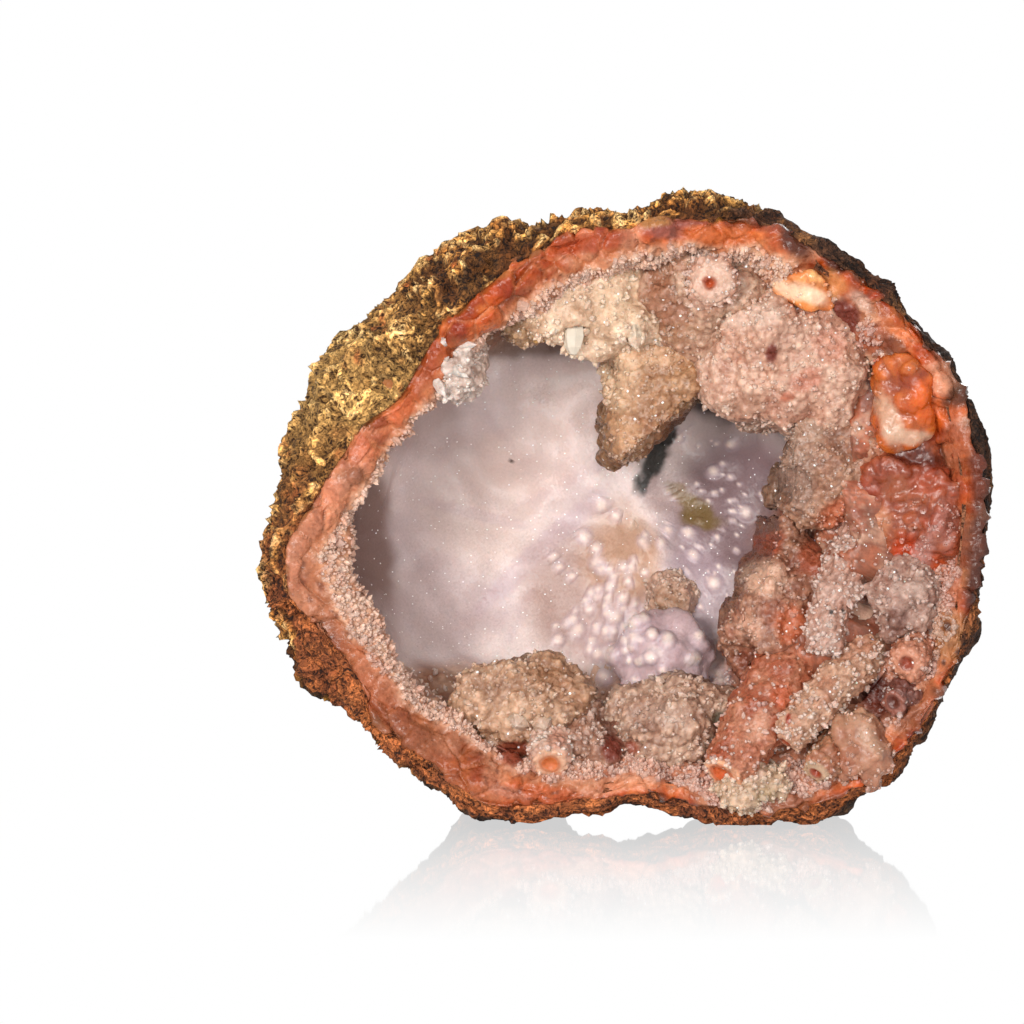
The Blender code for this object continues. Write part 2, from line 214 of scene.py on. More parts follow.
def hollow_section(degrees, share):
    """From the lip at share 0 by the waist at 1 and the floor at 2 to the middle at 3."""
    stations = [rim_section(degrees, 0.7), rim_section(degrees, 1.0), (waist_r(degrees), waist_y(degrees)),
                (floor_r(degrees), floor_y(degrees)), (0 * degrees, FLOOR_MIDDLE_Y + 0 * degrees),
                (-floor_r(degrees + 180), floor_y(degrees + 180))]
    index = np.minimum(share.astype(int), 2)
    part = share - index
    found = []
    for axis in (0, 1):
        column = np.stack([np.broadcast_to(station[axis], share.shape) for station in stations])
        a, b, c, d = (np.take_along_axis(column, (index + i)[None], axis=0)[0] for i in range(4))
        found.append(0.5 * (2 * b + (c - a) * part + (2 * a - 5 * b + 4 * c - d) * part**2
                            + (3 * b - a - 3 * c + d) * part**3))
    return found


def placed(degrees, radius, y):
    turn = np.radians(degrees)
    return np.stack([AXIS_X + radius * np.cos(turn), y + 0 * turn, AXIS_Z + radius * np.sin(turn)], axis=-1)


def hollow_points(degrees, share):
    points = placed(degrees, *hollow_section(degrees, share))
    for x, z, spread, depth in HOLLOWS:
        points[..., 1] += depth * bell(points[..., 0], x, spread) * bell(points[..., 2], z, spread)
    return points


def grid_normals(points):
    """Unit normals of a grid whose columns go once round the axis."""
    along = np.gradient(points, axis=0)
    about = np.roll(points, -1, axis=1) - np.roll(points, 1, axis=1)
    normal = np.cross(along, about)
    return normal / np.maximum(np.linalg.norm(normal, axis=-1, keepdims=True), 1e-9)


def cad_lumps(points, normals):
    """The CAD wall's own lumps, so that the visible wall follows it."""
    for size, height, seed in ((13.0, 2.2, 1.0), (5.0, 1.1, 2.0)):
        shift = Vector((seed, seed * 2.7, seed * 0.4))
        flat = points.reshape(-1, 3)
        lumps = np.array([noise.noise(Vector(point) / size + shift) for point in flat])
        points = points + normals * height * lumps.reshape(points.shape[:-1])[..., None]
    return points


# ---- meshes ----

def mesh_of(name, points, faces, colours, smooth=True):
    """Mesh from points in mm, face index arrays and a colour for each point."""
    mesh = bpy.data.meshes.new(name)
    mesh.vertices.add(len(points))
    mesh.vertices.foreach_set("co", ((points + STAND) * MM).astype(np.float32).ravel())
    sizes = np.concatenate([np.full(len(part), part.shape[1]) for part in faces])
    mesh.loops.add(int(sizes.sum()))
    mesh.loops.foreach_set("vertex_index", np.concatenate([part.ravel() for part in faces]).astype(np.int32))
    mesh.polygons.add(len(sizes))
    mesh.polygons.foreach_set("loop_start", np.concatenate([[0], np.cumsum(sizes)[:-1]]).astype(np.int32))
    smooth = np.full(len(sizes), True) if smooth is True else smooth
    mesh.polygons.foreach_set("use_smooth", smooth)
    mesh.update(calc_edges=True)
    layer = mesh.color_attributes.new("tint", "FLOAT_COLOR", "POINT")
    whole = np.concatenate([np.clip(colours, 0, 1), np.ones((len(points), 1))], axis=1)
    layer.data.foreach_set("color", whole.astype(np.float32).ravel())
    return mesh


def placed_object(name, data):
    obj = bpy.data.objects.new(name, data)
    bpy.context.scene.collection.objects.link(obj)
    return obj


def show(name, mesh, finish, slot, nodes=()):
    """The mesh as a visible piece on the body, in place of these nodes' plain solids."""
    mesh.materials.append(finish)
    obj = placed_object(name, mesh)
    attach(obj, "root")
    if nodes:
        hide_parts(*nodes)


def grid_faces(rows, columns, start=0):
    """Quads of a grid that closes on itself sideways."""
    row, column = np.meshgrid(np.arange(rows - 1), np.arange(columns), indexing="ij")
    beside = (column + 1) % columns
    quads = [row * columns + column, row * columns + beside, (row + 1) * columns + beside,
             (row + 1) * columns + column]
    return start + np.stack([corner.ravel() for corner in quads], axis=1)


CRYSTAL_POINTS = 13  # six at its foot, six at its shoulder and its tip
PALE_TIP = np.array((0.93, 0.88, 0.84))


def quartz_points(spots, normals, width, length, tilt, seed, colours, uneven=0.3):
    """Six-sided quartz points that stand on a surface: their points, faces and colours."""
    draw = np.random.default_rng(seed)
    count = len(spots)
    axis = normals + draw.normal(scale=tilt, size=(count, 3))
    axis /= np.linalg.norm(axis, axis=1, keepdims=True)
    side = np.cross(axis, draw.normal(size=(count, 3)))
    side /= np.linalg.norm(side, axis=1, keepdims=True)
    other = np.cross(axis, side)
    size = draw.lognormal(0, uneven, count)[:, None, None]
    width, length = width * size, length * size * draw.uniform(0.7, 1.3, count)[:, None, None]
    turn = np.radians(60) * np.arange(6)[None, :, None]
    round_it = np.cos(turn) * side[:, None] + np.sin(turn) * other[:, None]
    spots, axis = spots[:, None], axis[:, None]
    foot = spots - axis * length * 0.4 + round_it * width
    shoulder = spots + axis * length * 0.45 + round_it * width * 0.94
    tip = spots + axis * length + side[:, None] * width * draw.uniform(-0.3, 0.3, count)[:, None, None]
    points = np.concatenate([foot, shoulder, tip], axis=1)
    first = (np.arange(count) * CRYSTAL_POINTS)[:, None, None]
    step = np.arange(6)
    beside = (step + 1) % 6
    sides = first + np.stack([step, beside, beside + 6, step + 6], axis=1)[None]
    tops = first + np.stack([step + 6, beside + 6, np.full(6, 12)], axis=1)[None]
    paler = np.concatenate([np.full(6, 0.0), np.full(6, 0.06), [0.22]])
    tints = mix(np.repeat(colours[:, None], CRYSTAL_POINTS, axis=1), PALE_TIP,
                paler * draw.uniform(0.2, 1.4, (count, 1)))
    return points.reshape(-1, 3), sides.reshape(-1, 4), tops.reshape(-1, 3), tints.reshape(-1, 3)


def with_quartz(points, faces, colours, crystals):
    """One set of points, faces and colours from a surface and the crystals on it, which stay faceted."""
    faces, smooth = list(faces), [np.full(len(part), True) for part in faces]
    for new_points, sides, tops, tints in crystals:
        start = len(points)
        points, colours = np.concatenate([points, new_points]), np.concatenate([colours, tints])
        faces += [sides + start, tops + start]
        smooth += [np.full(len(sides), False), np.full(len(tops), False)]
    return points, faces, colours, np.concatenate(smooth)


def closed_grid(points, pole_first, pole_last):
    """A closed surface from rows of points, from one pole to the other: points, quads and pole triangles."""
    rows, columns = points.shape[:2]
    flat = np.concatenate([points.reshape(-1, 3), [pole_first, pole_last]])
    step = np.arange(columns)
    beside = (step + 1) % columns
    last = (rows - 1) * columns
    caps = np.concatenate([
        np.stack([np.full(columns, rows * columns), beside, step], axis=1),
        np.stack([np.full(columns, rows * columns + 1), last + step, last + beside], axis=1),
    ])
    return flat, grid_faces(rows, columns), caps


def facing_out(points, faces):
    """The faces turned so that they look outwards."""
    volume = 0
    for part in faces:
        corners = points[part]
        for i in range(1, part.shape[1] - 1):
            volume += np.einsum("ij,ij->", corners[:, 0], np.cross(corners[:, i], corners[:, i + 1]))
    return faces if volume > 0 else [part[:, ::-1] for part in faces]


def vertex_normals(points, quads):
    """Unit normals at the points of a quad mesh, zero where no quad meets."""
    a, b, c, d = (points[quads[:, i]] for i in range(4))
    face = np.cross(c - a, d - b)
    total = np.stack([sum(np.bincount(quads[:, i], face[:, axis], len(points)) for i in range(4))
                      for axis in range(3)], axis=1)
    return total / np.maximum(np.linalg.norm(total, axis=1, keepdims=True), 1e-9)


def relaxed(points, quads, rounds):
    """The closed mesh with its points drawn towards their neighbours."""
    ends = np.concatenate([quads[:, [i, (i + 1) % 4]] for i in range(4)])
    count = np.bincount(ends[:, 0], minlength=len(points))[:, None]
    for _ in range(rounds):
        near = [np.bincount(ends[:, 0], points[ends[:, 1], axis], len(points)) for axis in range(3)]
        points = points + 0.5 * (np.stack(near, axis=1) / count - points)
    return points


def even_mesh(points, faces, voxel):
    """The same closed shape in even quads of about this size."""
    mesh = bpy.data.meshes.new("scratch")
    mesh.from_pydata(points.tolist(), [], faces)
    obj = placed_object("scratch", mesh)
    remesh = obj.modifiers.new("even", "REMESH")
    remesh.mode, remesh.voxel_size = "VOXEL", voxel
    evaluated = obj.evaluated_get(bpy.context.evaluated_depsgraph_get())
    made = evaluated.to_mesh()
    found = np.empty(len(made.vertices) * 3, np.float32)
    made.vertices.foreach_get("co", found)
    quads = np.empty(len(made.loops), np.int32)
    made.loops.foreach_get("vertex_index", quads)
    evaluated.to_mesh_clear()
    bpy.data.objects.remove(obj)
    bpy.data.meshes.remove(mesh)
    return found.reshape(-1, 3).astype(float), quads.reshape(-1, 4)


def cad_piece(name, voxel, grow):
    """A CAD growth as an even mesh in mm, a little fuller so that it meets its neighbours."""
    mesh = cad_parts[name].data
    points = np.empty(len(mesh.vertices) * 3, np.float32)
    mesh.vertices.foreach_get("co", points)
    points = points.reshape(-1, 3) / MM - STAND
    points, quads = even_mesh(points, [tuple(face.vertices) for face in mesh.polygons], voxel)
    points = relaxed(points, quads, 14)
    return points + vertex_normals(points, quads) * grow, quads


# ---- colour ----

WHITE_QUARTZ = rgb(232, 218, 212)
BRIGHT = 0.16  # no crystal stands where the colour is darker than this


def painted(colours, points, patches, ragged=0.35):
    """Soft-edged patches: (x, z, half width, half height, turn in degrees, colour, strength)."""
    for number, (x, z, half_x, half_z, turn, colour, strength) in enumerate(patches):
        reach = 1.8 * max(half_x, half_z)
        near = (abs(points[..., 0] - x) < reach) & (abs(points[..., 2] - z) < reach)
        if not near.any():
            continue
        some = points[near]
        cos, sin = math.cos(math.radians(turn)), math.sin(math.radians(turn))
        along = ((some[:, 0] - x) * cos + (some[:, 2] - z) * sin) / half_x
        across = ((some[:, 2] - z) * cos - (some[:, 0] - x) * sin) / half_z
        far = np.hypot(along, across)
        far = far + ragged * fractal(some, 1.2 * min(half_x, half_z) + 0.4, 3, 40 + number)
        colours[near] = mix(colours[near], rgb(*colour), strength * (1 - ease(0.6, 1.2, far)))
    return colours


def two_tone(points, one, other, size, seed):
    share = ease(-0.45, 0.45, fractal(points, size, 4, seed))
    return one + (other - one) * share[..., None]


# ---- materials ----

WHITE = (1, 1, 1, 1)
PAINTED_GLINT = (0.95, 0.93, 0.92, 1)
# Painted shade in the rind's fine pits, and the lighter ground between them.
PIT_SHADE, PIT_LIGHT = (0.1, 0.055, 0.03, 1), (2.1, 1.95, 1.75, 1)
QUARTZ_IOR = 1.54


def node(tree, kind, inputs=None, **settings):
    """A node with its settings, and with each input set to a value or linked to another node's output."""
    made = tree.nodes.new(kind)
    for key, value in settings.items():
        setattr(made, key, value)
    set_inputs(tree, made, inputs or {})
    return made


def set_inputs(tree, made, inputs):
    for key, value in inputs.items():
        if isinstance(value, bpy.types.NodeSocket):
            tree.links.new(value, made.inputs[key])
        else:
            made.inputs[key].default_value = value


def ranged(tree, value, from_min, from_max, to_min=0.0, to_max=1.0, **settings):
    """The value carried from one range to another."""
    return node(tree, "ShaderNodeMapRange", {
        "Value": value, "From Min": from_min, "From Max": from_max, "To Min": to_min, "To Max": to_max,
    }, **settings).outputs["Result"]


def calculated(tree, operation, *values, kind="ShaderNodeMath"):
    return node(tree, kind, dict(enumerate(values)), operation=operation).outputs[0]


def mixed(tree, factor, one, other, **settings):
    return node(tree, "ShaderNodeMix", {"Factor": factor, "A": one, "B": other}, data_type="RGBA",
                **settings).outputs["Result"]


def new_finish(name):
    finish = bpy.data.materials.new(name)
    finish.use_nodes = True
    return finish, finish.node_tree


def pitted(tree, where, colour, size):
    """The colour darkened with painted shade in dense, winding pits about this many millimetres apart and
    lightened between them, and their depth.
    """
    parts = []
    for scale, twist in ((size, 1.4), (size * 2.8, 2.2)):
        holes = node(tree, "ShaderNodeTexNoise", {
            "Vector": where, "Scale": 1 / (scale * MM), "Detail": 3, "Distortion": twist,
        })
        parts.append(ranged(tree, holes.outputs["Fac"], 0.4, 0.56, interpolation_type="SMOOTHSTEP"))
    half = calculated(tree, "MULTIPLY", parts[1], 0.5)
    depth = calculated(tree, "MULTIPLY_ADD", parts[0], 0.5, half)
    shade = mixed(tree, depth, PIT_SHADE, PIT_LIGHT)
    return mixed(tree, 1, colour, shade, blend_type="MULTIPLY"), depth


def stone(name, roughness, facet=0.0, facet_size=0.35, grain=0.5, grain_bump=0.3, vary=0.16, glow=0.0,
          sparkle=0.0, spread=0.12, pits=0.0, shine=0.4):
    """Stone coloured by its mesh: fine grain, small flat facets that glint, and a little light let in."""
    finish, tree = new_finish(name)
    where = node(tree, "ShaderNodeTexCoord").outputs["Object"]
    tint = node(tree, "ShaderNodeAttribute", attribute_name="tint").outputs["Color"]
    fine = node(tree, "ShaderNodeTexNoise", {"Vector": where, "Scale": 1 / (grain * MM), "Detail": 4})
    fine = fine.outputs["Fac"]
    shade = ranged(tree, fine, 0.3, 0.7, 1 - vary, 1 + vary)
    colour = mixed(tree, 1, tint, shade, blend_type="MULTIPLY")
    if pits:
        colour, pit_depth = pitted(tree, where, colour, pits)
    cell = node(tree, "ShaderNodeTexVoronoi", {"Vector": where, "Scale": 1 / (facet_size * MM)})
    # Painted glints: rare white dots mixed into the colour.
    if sparkle:
        parts = node(tree, "ShaderNodeSeparateColor", {"Color": cell.outputs["Color"]})
        rare = calculated(tree, "GREATER_THAN", parts.outputs["Red"], 1 - sparkle)
        close = calculated(tree, "LESS_THAN", cell.outputs["Distance"], 0.38)
        colour = mixed(tree, calculated(tree, "MULTIPLY", rare, close), colour, PAINTED_GLINT)

    bump = {"Strength": grain_bump, "Distance": grain * MM * 0.5, "Height": fine}
    if facet:
        lean = calculated(tree, "MULTIPLY_ADD", cell.outputs["Color"], (2 * facet,) * 3, (-facet,) * 3,
                          kind="ShaderNodeVectorMath")
        flat = node(tree, "ShaderNodeNewGeometry").outputs["Normal"]
        leaned = calculated(tree, "ADD", lean, flat, kind="ShaderNodeVectorMath")
        bump["Normal"] = calculated(tree, "NORMALIZE", leaned, kind="ShaderNodeVectorMath")
    if pits:
        deep = {"Strength": 0.9, "Distance": pits * MM * 0.7, "Height": pit_depth}
        bump["Normal"] = node(tree, "ShaderNodeBump", deep).outputs["Normal"]
    settings = {
        "IOR": QUARTZ_IOR, "Specular IOR Level": shine, "Base Color": colour,
        "Roughness": ranged(tree, fine, 0.3, 0.7, roughness - spread, min(roughness + spread, 1)),
        "Normal": node(tree, "ShaderNodeBump", bump).outputs["Normal"],
    }
    if glow:
        settings.update({
            "Subsurface Weight": glow, "Subsurface Radius": (1.0, 0.55, 0.4), "Subsurface Scale": 0.7 * MM,
        })
    set_inputs(tree, tree.nodes["Principled BSDF"], settings)
    return finish


def seen_white(tree, light_given):
    """How strongly white shows: fully to the camera, and less as light on the object."""
    diffuse = node(tree, "ShaderNodeLightPath").outputs["Is Diffuse Ray"]
    return ranged(tree, diffuse, 0.0, 1.0, 1.0, light_given)


def stage_finish(name):
    """White floor that the camera sees as white, with a reflection that fades away from the object."""
    finish, tree = new_finish(name)
    tree.nodes.remove(tree.nodes["Principled BSDF"])
    glow = node(tree, "ShaderNodeEmission", {"Color": WHITE, "Strength": seen_white(tree, 0.34)})
    shine = node(tree, "ShaderNodeBsdfGlossy", {"Color": WHITE, "Roughness": 0.03})
    place = node(tree, "ShaderNodeTexCoord").outputs["Object"]
    far = node(tree, "ShaderNodeVectorMath", {0: place}, operation="LENGTH").outputs["Value"]
    fade = ranged(tree, far, 0.03, 0.17, 0.38, 0.0)
    both = node(tree, "ShaderNodeMixShader", {"Fac": fade, 1: glow.outputs[0], 2: shine.outputs[0]})
    set_inputs(tree, tree.nodes["Material Output"], {"Surface": both.outputs[0]})
    return finish


# ---- camera, floor and lights ----

FIELD = 148.1           # mm across the picture at the object's front
AIM = (-17.07, 0.0, 45.6)
DISTANCE, RAISED = 800.0, 2.0
SENSOR = 36.0


def set_camera():
    """The photo's view: AIM in the middle of the picture, seen from RAISED degrees above."""
    data = bpy.data.cameras.new("camera")
    data.sensor_width = SENSOR
    data.lens = SENSOR * DISTANCE / FIELD
    data.clip_start, data.clip_end = 0.05, 20
    camera = placed_object("camera", data)
    turn = math.radians(RAISED)
    aim = (np.array(AIM) + STAND) * MM
    place = aim + DISTANCE * MM * np.array((0, -math.cos(turn), math.sin(turn)))
    camera.location = place
    camera.rotation_euler = Vector(aim - place).to_track_quat("-Z", "Y").to_euler()
    bpy.context.scene.camera = camera


def set_light(name, place, size, power, colour=(1, 1, 1)):
    data = bpy.data.lights.new(name, "AREA")
    data.shape, data.size, data.energy, data.color = "DISK", size, power, colour
    lamp = placed_object(name, data)
    lamp.location = place
    lamp.rotation_euler = (Vector((0, 0, 0.045)) - Vector(place)).to_track_quat("-Z", "Y").to_euler()


def set_stage():
    """The white room and floor, which aren't part of the object, and three lamps."""
    scene = bpy.context.scene
    scene.view_settings.view_transform = "Standard"
    world = bpy.data.worlds.new("studio")
    world.use_nodes = True
    scene.world = world
    tree = world.node_tree
    set_inputs(tree, tree.nodes["Background"], {"Color": WHITE, "Strength": seen_white(tree, 0.42)})
    mesh = bpy.data.meshes.new("floor")
    mesh.from_pydata([(-6, -6, 0), (6, -6, 0), (6, 6, 0), (-6, 6, 0)], [], [(0, 1, 2, 3)])
    mesh.materials.append(stage_finish("white_floor"))
    floor = placed_object("floor", mesh)
    floor.location.z = -0.0002
    set_light("key", (-0.42, -0.82, 0.2), 0.3, 6.4, (1, 0.97, 0.93))
    set_light("front", (0.12, -1.0, 0.1), 0.4, 5.6, (1, 0.97, 0.94))
    set_light("back", (0.3, 0.8, 0.5), 0.6, 4.0)


set_camera()
set_stage()


# ---- the wall ----

RIM_COLUMNS, RIND_COLUMNS, LINING_COLUMNS = 760, 610, 580
RIM_CRYSTALS, LINING_CRYSTALS = 4600, 2000
FLOW_RADIUS = 26.0  # the rind's noise is laid round a cylinder of this radius
SEAM_ROWS = 3  # the rim's rows hidden behind its front face


def turns(columns, rows):
    return np.broadcast_to(np.arange(columns) * 360 / columns, (rows, columns))


def rind_surface(columns):
    """The plain outside from the middle of the back to the rim, and its normals."""
    flank, back = 44, 104
    d = turns(columns, flank)
    front = placed(d, *flank_section(d, np.linspace(1, 0, flank)[:, None]))
    d = turns(columns, back - 1)
    even = np.linspace(1, 0.012, back)[1:, None] ** 1.5
    dome = placed(d, *back_section(d, even / (even + (1 - even ** (2 / 3)) ** 1.5)))
    outer = np.concatenate([front, dome])[::-1]
    outer = cad_lumps(outer, -grid_normals(outer))
    normal = grid_normals(outer)
    if np.einsum("ijk,ijk->", normal, outer - np.array((0, 15, AXIS_Z))) < 0:
        normal = -normal
    middle = normal[6:14].mean(axis=(0, 1))
    return outer, blend(middle, normal, ease(0, 14, np.arange(len(outer)))[:, None, None])


def rind_flow(outer, d, axis_gap):
    """Places for noise that follows the outside round the rim instead of cutting through it."""
    turn = np.radians(d)
    steps = np.linalg.norm(np.diff(outer, axis=0), axis=-1).mean(axis=1)
    length = np.broadcast_to(np.concatenate([[0], np.cumsum(steps)])[:, None], d.shape)
    flow = np.stack([FLOW_RADIUS * np.cos(turn), length, FLOW_RADIUS * np.sin(turn)], axis=-1)
    flow = blend(outer, flow, ease(10, 26, axis_gap)[..., None])
    return flow + 2.2 * np.stack([soft_noise(outer, 5.0, 60 + i) for i in range(3)], axis=-1)


def golden_area(outer, d, axis_gap):
    """How much of the ochre crust is left: most on the left and top."""
    wander = d + 26 * fractal(outer, 16.0, 3, 72)
    golden = np.maximum(bell(wander, 150, 46), bell(wander, 92, 20)) * 1.2
    golden = golden * (1 - 0.9 * bell(wander, 315, 60))
    golden = blend(0.5 + 0.9 * fractal(outer, 11.0, 3, 73), golden, ease(6, 30, axis_gap))
    return np.clip(golden + 0.4 * fractal(outer, 13.0, 3, 71), 0, 1)


def rind_colours(outer, d, golden, patch, crest_highlight, deep):
    """Gold where the crust is left, a dark skin elsewhere, olive in the patch, brown low at the rim, painted
    highlights on crests and painted shade in grooves and pits.
    """
    gold = two_tone(outer, rgb(246, 186, 104), rgb(202, 132, 64), 3.0, 120)
    corner = bell(d, 156, 14)
    gold = mix(gold, rgb(252, 208, 132), corner * 0.9)
    # Painted highlight along the crests.
    gold = mix(gold, rgb(252, 220, 160), crest_highlight * 0.85)
    dark = two_tone(outer, rgb(70, 48, 36), rgb(38, 29, 25), 4.0, 130)
    dark = mix(dark, rgb(140, 98, 62), ease(0.1, 0.5, fractal(outer, 5.0, 3, 135)) * 0.7)
    colours = mix(dark, gold, ease(0.2, 0.8, golden + 0.45 * fractal(outer, 4.5, 4, 137)))
    olive = two_tone(outer, rgb(146, 104, 40), rgb(82, 56, 26), 1.8, 140)
    colours = mix(colours, olive, ease(0.3, 0.7, patch + 0.25 * fractal(outer, 3.0, 3, 143)))
    # Painted shade in the grooves and pits.
    colours = mix(colours, rgb(58, 30, 12), np.clip(deep * (1.05 - 0.3 * corner), 0, 1) * 0.94)
    warm = ease(0.2, 0.6, soft_noise(outer, 4.5, 147)) * golden * 0.6
    colours = mix(colours, rgb(172, 92, 48), warm * ease(0, 0.5, fractal(outer, 1.2, 2, 149)))
    lower = np.clip(bell(d, 235, 34) + bell(d, 285, 34), 0, 1) * (1 - ease(2.5, 8, outer[..., 1]))
    lower = ease(0.1, 0.6, lower + 0.3 * fractal(outer, 3.0, 3, 150))
    return mix(colours, two_tone(outer, rgb(168, 100, 58), rgb(112, 62, 38), 2.0, 151), lower * 0.85)


def rind_inside(columns):
    """The unseen inner side that closes the rind."""
    rows = 8
    d = turns(columns, rows)
    shrink = np.linspace(0.35, 1, rows)[:, None]
    under = np.concatenate([placed(d, *flank_section(d, 1 - shrink * 0.9)),
                            placed(d, *back_section(d, np.linspace(1, 0.05, rows)[:, None]))])
    centre = np.array((0, 12.0, AXIS_Z))
    return centre + (under - centre) * 0.93


def closed_piece(points, colours, unseen, unseen_colour, pole):
    """Flat points, faces and colours of an outside and its unseen inner side."""
    flat, quads, caps = closed_grid(np.concatenate([points, unseen]), points[0].mean(axis=0), pole)
    tints = np.concatenate([colours.reshape(-1, 3), np.tile(unseen_colour, (unseen[..., 0].size, 1)),
                            [colours[0, 0], unseen_colour]])
    return flat, facing_out(flat, [quads, caps]), tints


def make_rind():
    """The weathered outside: pitted ochre on the left and top, a thin dark skin below and on the right."""
    outer, normal = rind_surface(RIND_COLUMNS)
    d = turns(RIND_COLUMNS, len(outer))
    axis_gap = np.hypot(outer[..., 0] - AXIS_X, outer[..., 2] - AXIS_Z)
    flow = rind_flow(outer, d, axis_gap)
    golden = golden_area(outer, d, axis_gap)
    patch = bell(d, 213, 9) * (1 - ease(12, 20, outer[..., 1]))
    rough = np.clip(0.35 + golden + patch, 0, 1)
    crest = 1 - np.clip(abs(soft_noise(flow, 2.1, 90)) * 2.4, 0, 1)
    small_crest = 1 - np.clip(abs(soft_noise(flow, 1.0, 91)) * 2.2, 0, 1)
    pits = ease(0.22, 0.5, soft_noise(outer, 2.6, 93)) * ease(-0.2, 0.3, soft_noise(outer, 1.2, 94))
    first, second, _ = cells(outer, 0.85, 80)
    height = 1.3 * fractal(outer, 7.0, 2, 100) + (1.3 * crest + 0.7 * small_crest - 1.6 * pits) * rough
    fine = rough * ease(0.5, 7, axis_gap)
    height = height + (0.5 * (second - first) + 0.45 * fractal(outer, 1.3, 2, 110)) * fine
    rank = np.arange(len(outer))[::-1, None]
    height = (height - 0.4) * ease(-1, 5, rank) * blend(0.5, 1, ease(1, 7, axis_gap)) - 0.1
    points = outer + normal * height[..., None]
    # Where painted highlights go: along the crests.
    crest_highlight = ease(0.55, 0.95, crest) * ease(0.3, 0.8, small_crest)
    # Where painted shade goes: in the grooves, the pits and the gaps between grains.
    deep = 1.1 * ease(0.62, 0.2, crest) + 0.7 * ease(0.5, 0.1, small_crest) + 1.2 * pits
    deep = np.clip(deep + 0.5 * (1 - ease(0, 0.3, second - first)) - 0.04, 0, 1) * rough
    colours = rind_colours(outer, d, golden, patch, crest_highlight, deep)
    under = rind_inside(RIND_COLUMNS)
    flat, faces, tints = closed_piece(points, colours, under, rgb(120, 80, 60), under[-1].mean(axis=0))
    finish = stone("weathered_rind", 0.8, grain=0.35, grain_bump=1.0, vary=0.2, spread=0.12, pits=0.8,
                   shine=0.25)
    show("rind", mesh_of("rind", flat, faces, tints), finish, "rind_and_agate", ["geode_shell"])


# Patches of colour: x, z, half width, half height, turn in degrees, colour, strength.
RIM_PATCHES = [
    (6.5, 86.4, 6, 1.6, 0, (144, 78, 66), 0.85), (3, 87.5, 3, 1, 0, (169, 117, 60), 0.7),
    (11.5, 89.2, 3, 1.8, 0, (176, 125, 50), 0.95), (12.5, 85.6, 6.4, 1.5, -4, (191, 97, 48), 0.9),
    (-6, 84.6, 5.5, 1.6, 8, (163, 72, 42), 0.7), (20, 88, 3, 2, -20, (129, 66, 49), 0.7),
    (24, 85, 3.6, 2.8, -60, (79, 39, 27), 0.95), (29.6, 82, 2.6, 1.6, -50, (69, 34, 24), 0.9),
    (29, 78.5, 2.5, 2, -40, (203, 140, 86), 0.6), (31, 73.4, 2.4, 3.6, 10, (105, 41, 33), 0.95),
    (33.5, 76, 2.4, 1, -40, (196, 162, 144), 0.7), (35.6, 70.5, 2.8, 3, -40, (153, 75, 48), 0.8),
    (38.5, 69, 2.6, 1.4, -50, (96, 47, 30), 0.8), (44, 60, 2.2, 5.5, -75, (200, 92, 35), 0.85),
    (48, 62.5, 1.8, 3.2, -70, (52, 37, 29), 0.85), (46.8, 52.5, 1.8, 8, 0, (132, 62, 40), 0.8),
    (46.6, 38, 1.6, 8, 0, (160, 88, 64), 0.6), (48.5, 56, 2.4, 3.5, 80, (169, 86, 50), 0.5),
    (50.5, 51, 1.6, 6, 0, (103, 47, 32), 0.85), (50.2, 39, 2, 8, 0, (76, 38, 28), 0.85),
    (46.5, 27, 3.4, 4.2, 10, (162, 108, 69), 0.85), (46, 29, 0.7, 0.9, 0, (69, 34, 22), 0.9),
    (47.6, 25.2, 0.6, 0.6, 0, (69, 34, 22), 0.9), (45.4, 23.8, 0.5, 0.6, 0, (69, 34, 22), 0.9),
    (41, 16, 4, 2, 50, (126, 69, 45), 0.7), (36, 9, 4, 2, 40, (103, 58, 39), 0.7),
    (24, 2.6, 6, 2.4, 6, (129, 72, 45), 0.7), (-12, 4.4, 8, 1.6, -8, (177, 86, 48), 0.7),
    (-17.5, 5, 3.5, 1, -20, (160, 108, 88), 0.6), (-23, 4.5, 5, 2.2, -30, (163, 90, 53), 0.7),
    (-30.4, 11.9, 5, 2.6, -30, (136, 80, 54), 0.65), (-29.6, 66.8, 3, 6, -40, (148, 62, 26), 0.7),
    (-40.5, 15.5, 4, 2.5, -50, (151, 75, 48), 0.5), (-37.5, 22, 2.5, 6, 35, (176, 104, 72), 0.6),
    (-16.6, 10.4, 2.8, 1.7, 6, (126, 50, 30), 0.9), (-2.6, 11, 2.2, 2.2, 0, (112, 40, 24), 0.9),
    (36, 18.2, 3, 4, 20, (84, 30, 18), 0.95), (37.4, 31, 2.2, 3, 0, (110, 66, 52), 0.8),
]


def rim_rows():
    """The plain rim: rows behind its outer edge, across its face and into the hollow, and where they end."""
    d = turns(RIM_COLUMNS, 1)
    rows = []
    for share, inset in ((0.70, 2.4), (0.84, 1.2), (0.94, 0.5)):
        radius, y = flank_section(d, np.full_like(d, share))
        rows.append(placed(d, radius - inset, y + 0.3))
    for share in np.linspace(0, 1, 46):
        rows.append(placed(d, *rim_section(d, share)))
    front = len(rows)
    for share in (0.04, 0.08, 0.13, 0.19, 0.26, 0.34, 0.43, 0.54):
        rows.append(hollow_points(d, np.full_like(d, share)))
    for share, inset in ((0.8, -2.5), (0.45, -4.5)):
        rows.append(hollow_points(d, np.full_like(d, share)) + placed(d, -inset, 1.0) - placed(d, 0.0, 0.0))
    points = np.concatenate(rows)
    points[:-2] = cad_lumps(points[:-2], -grid_normals(points[:-2]))
    normal = grid_normals(points)
    return points, (-normal if normal[20, :, 1].mean() > 0 else normal), front


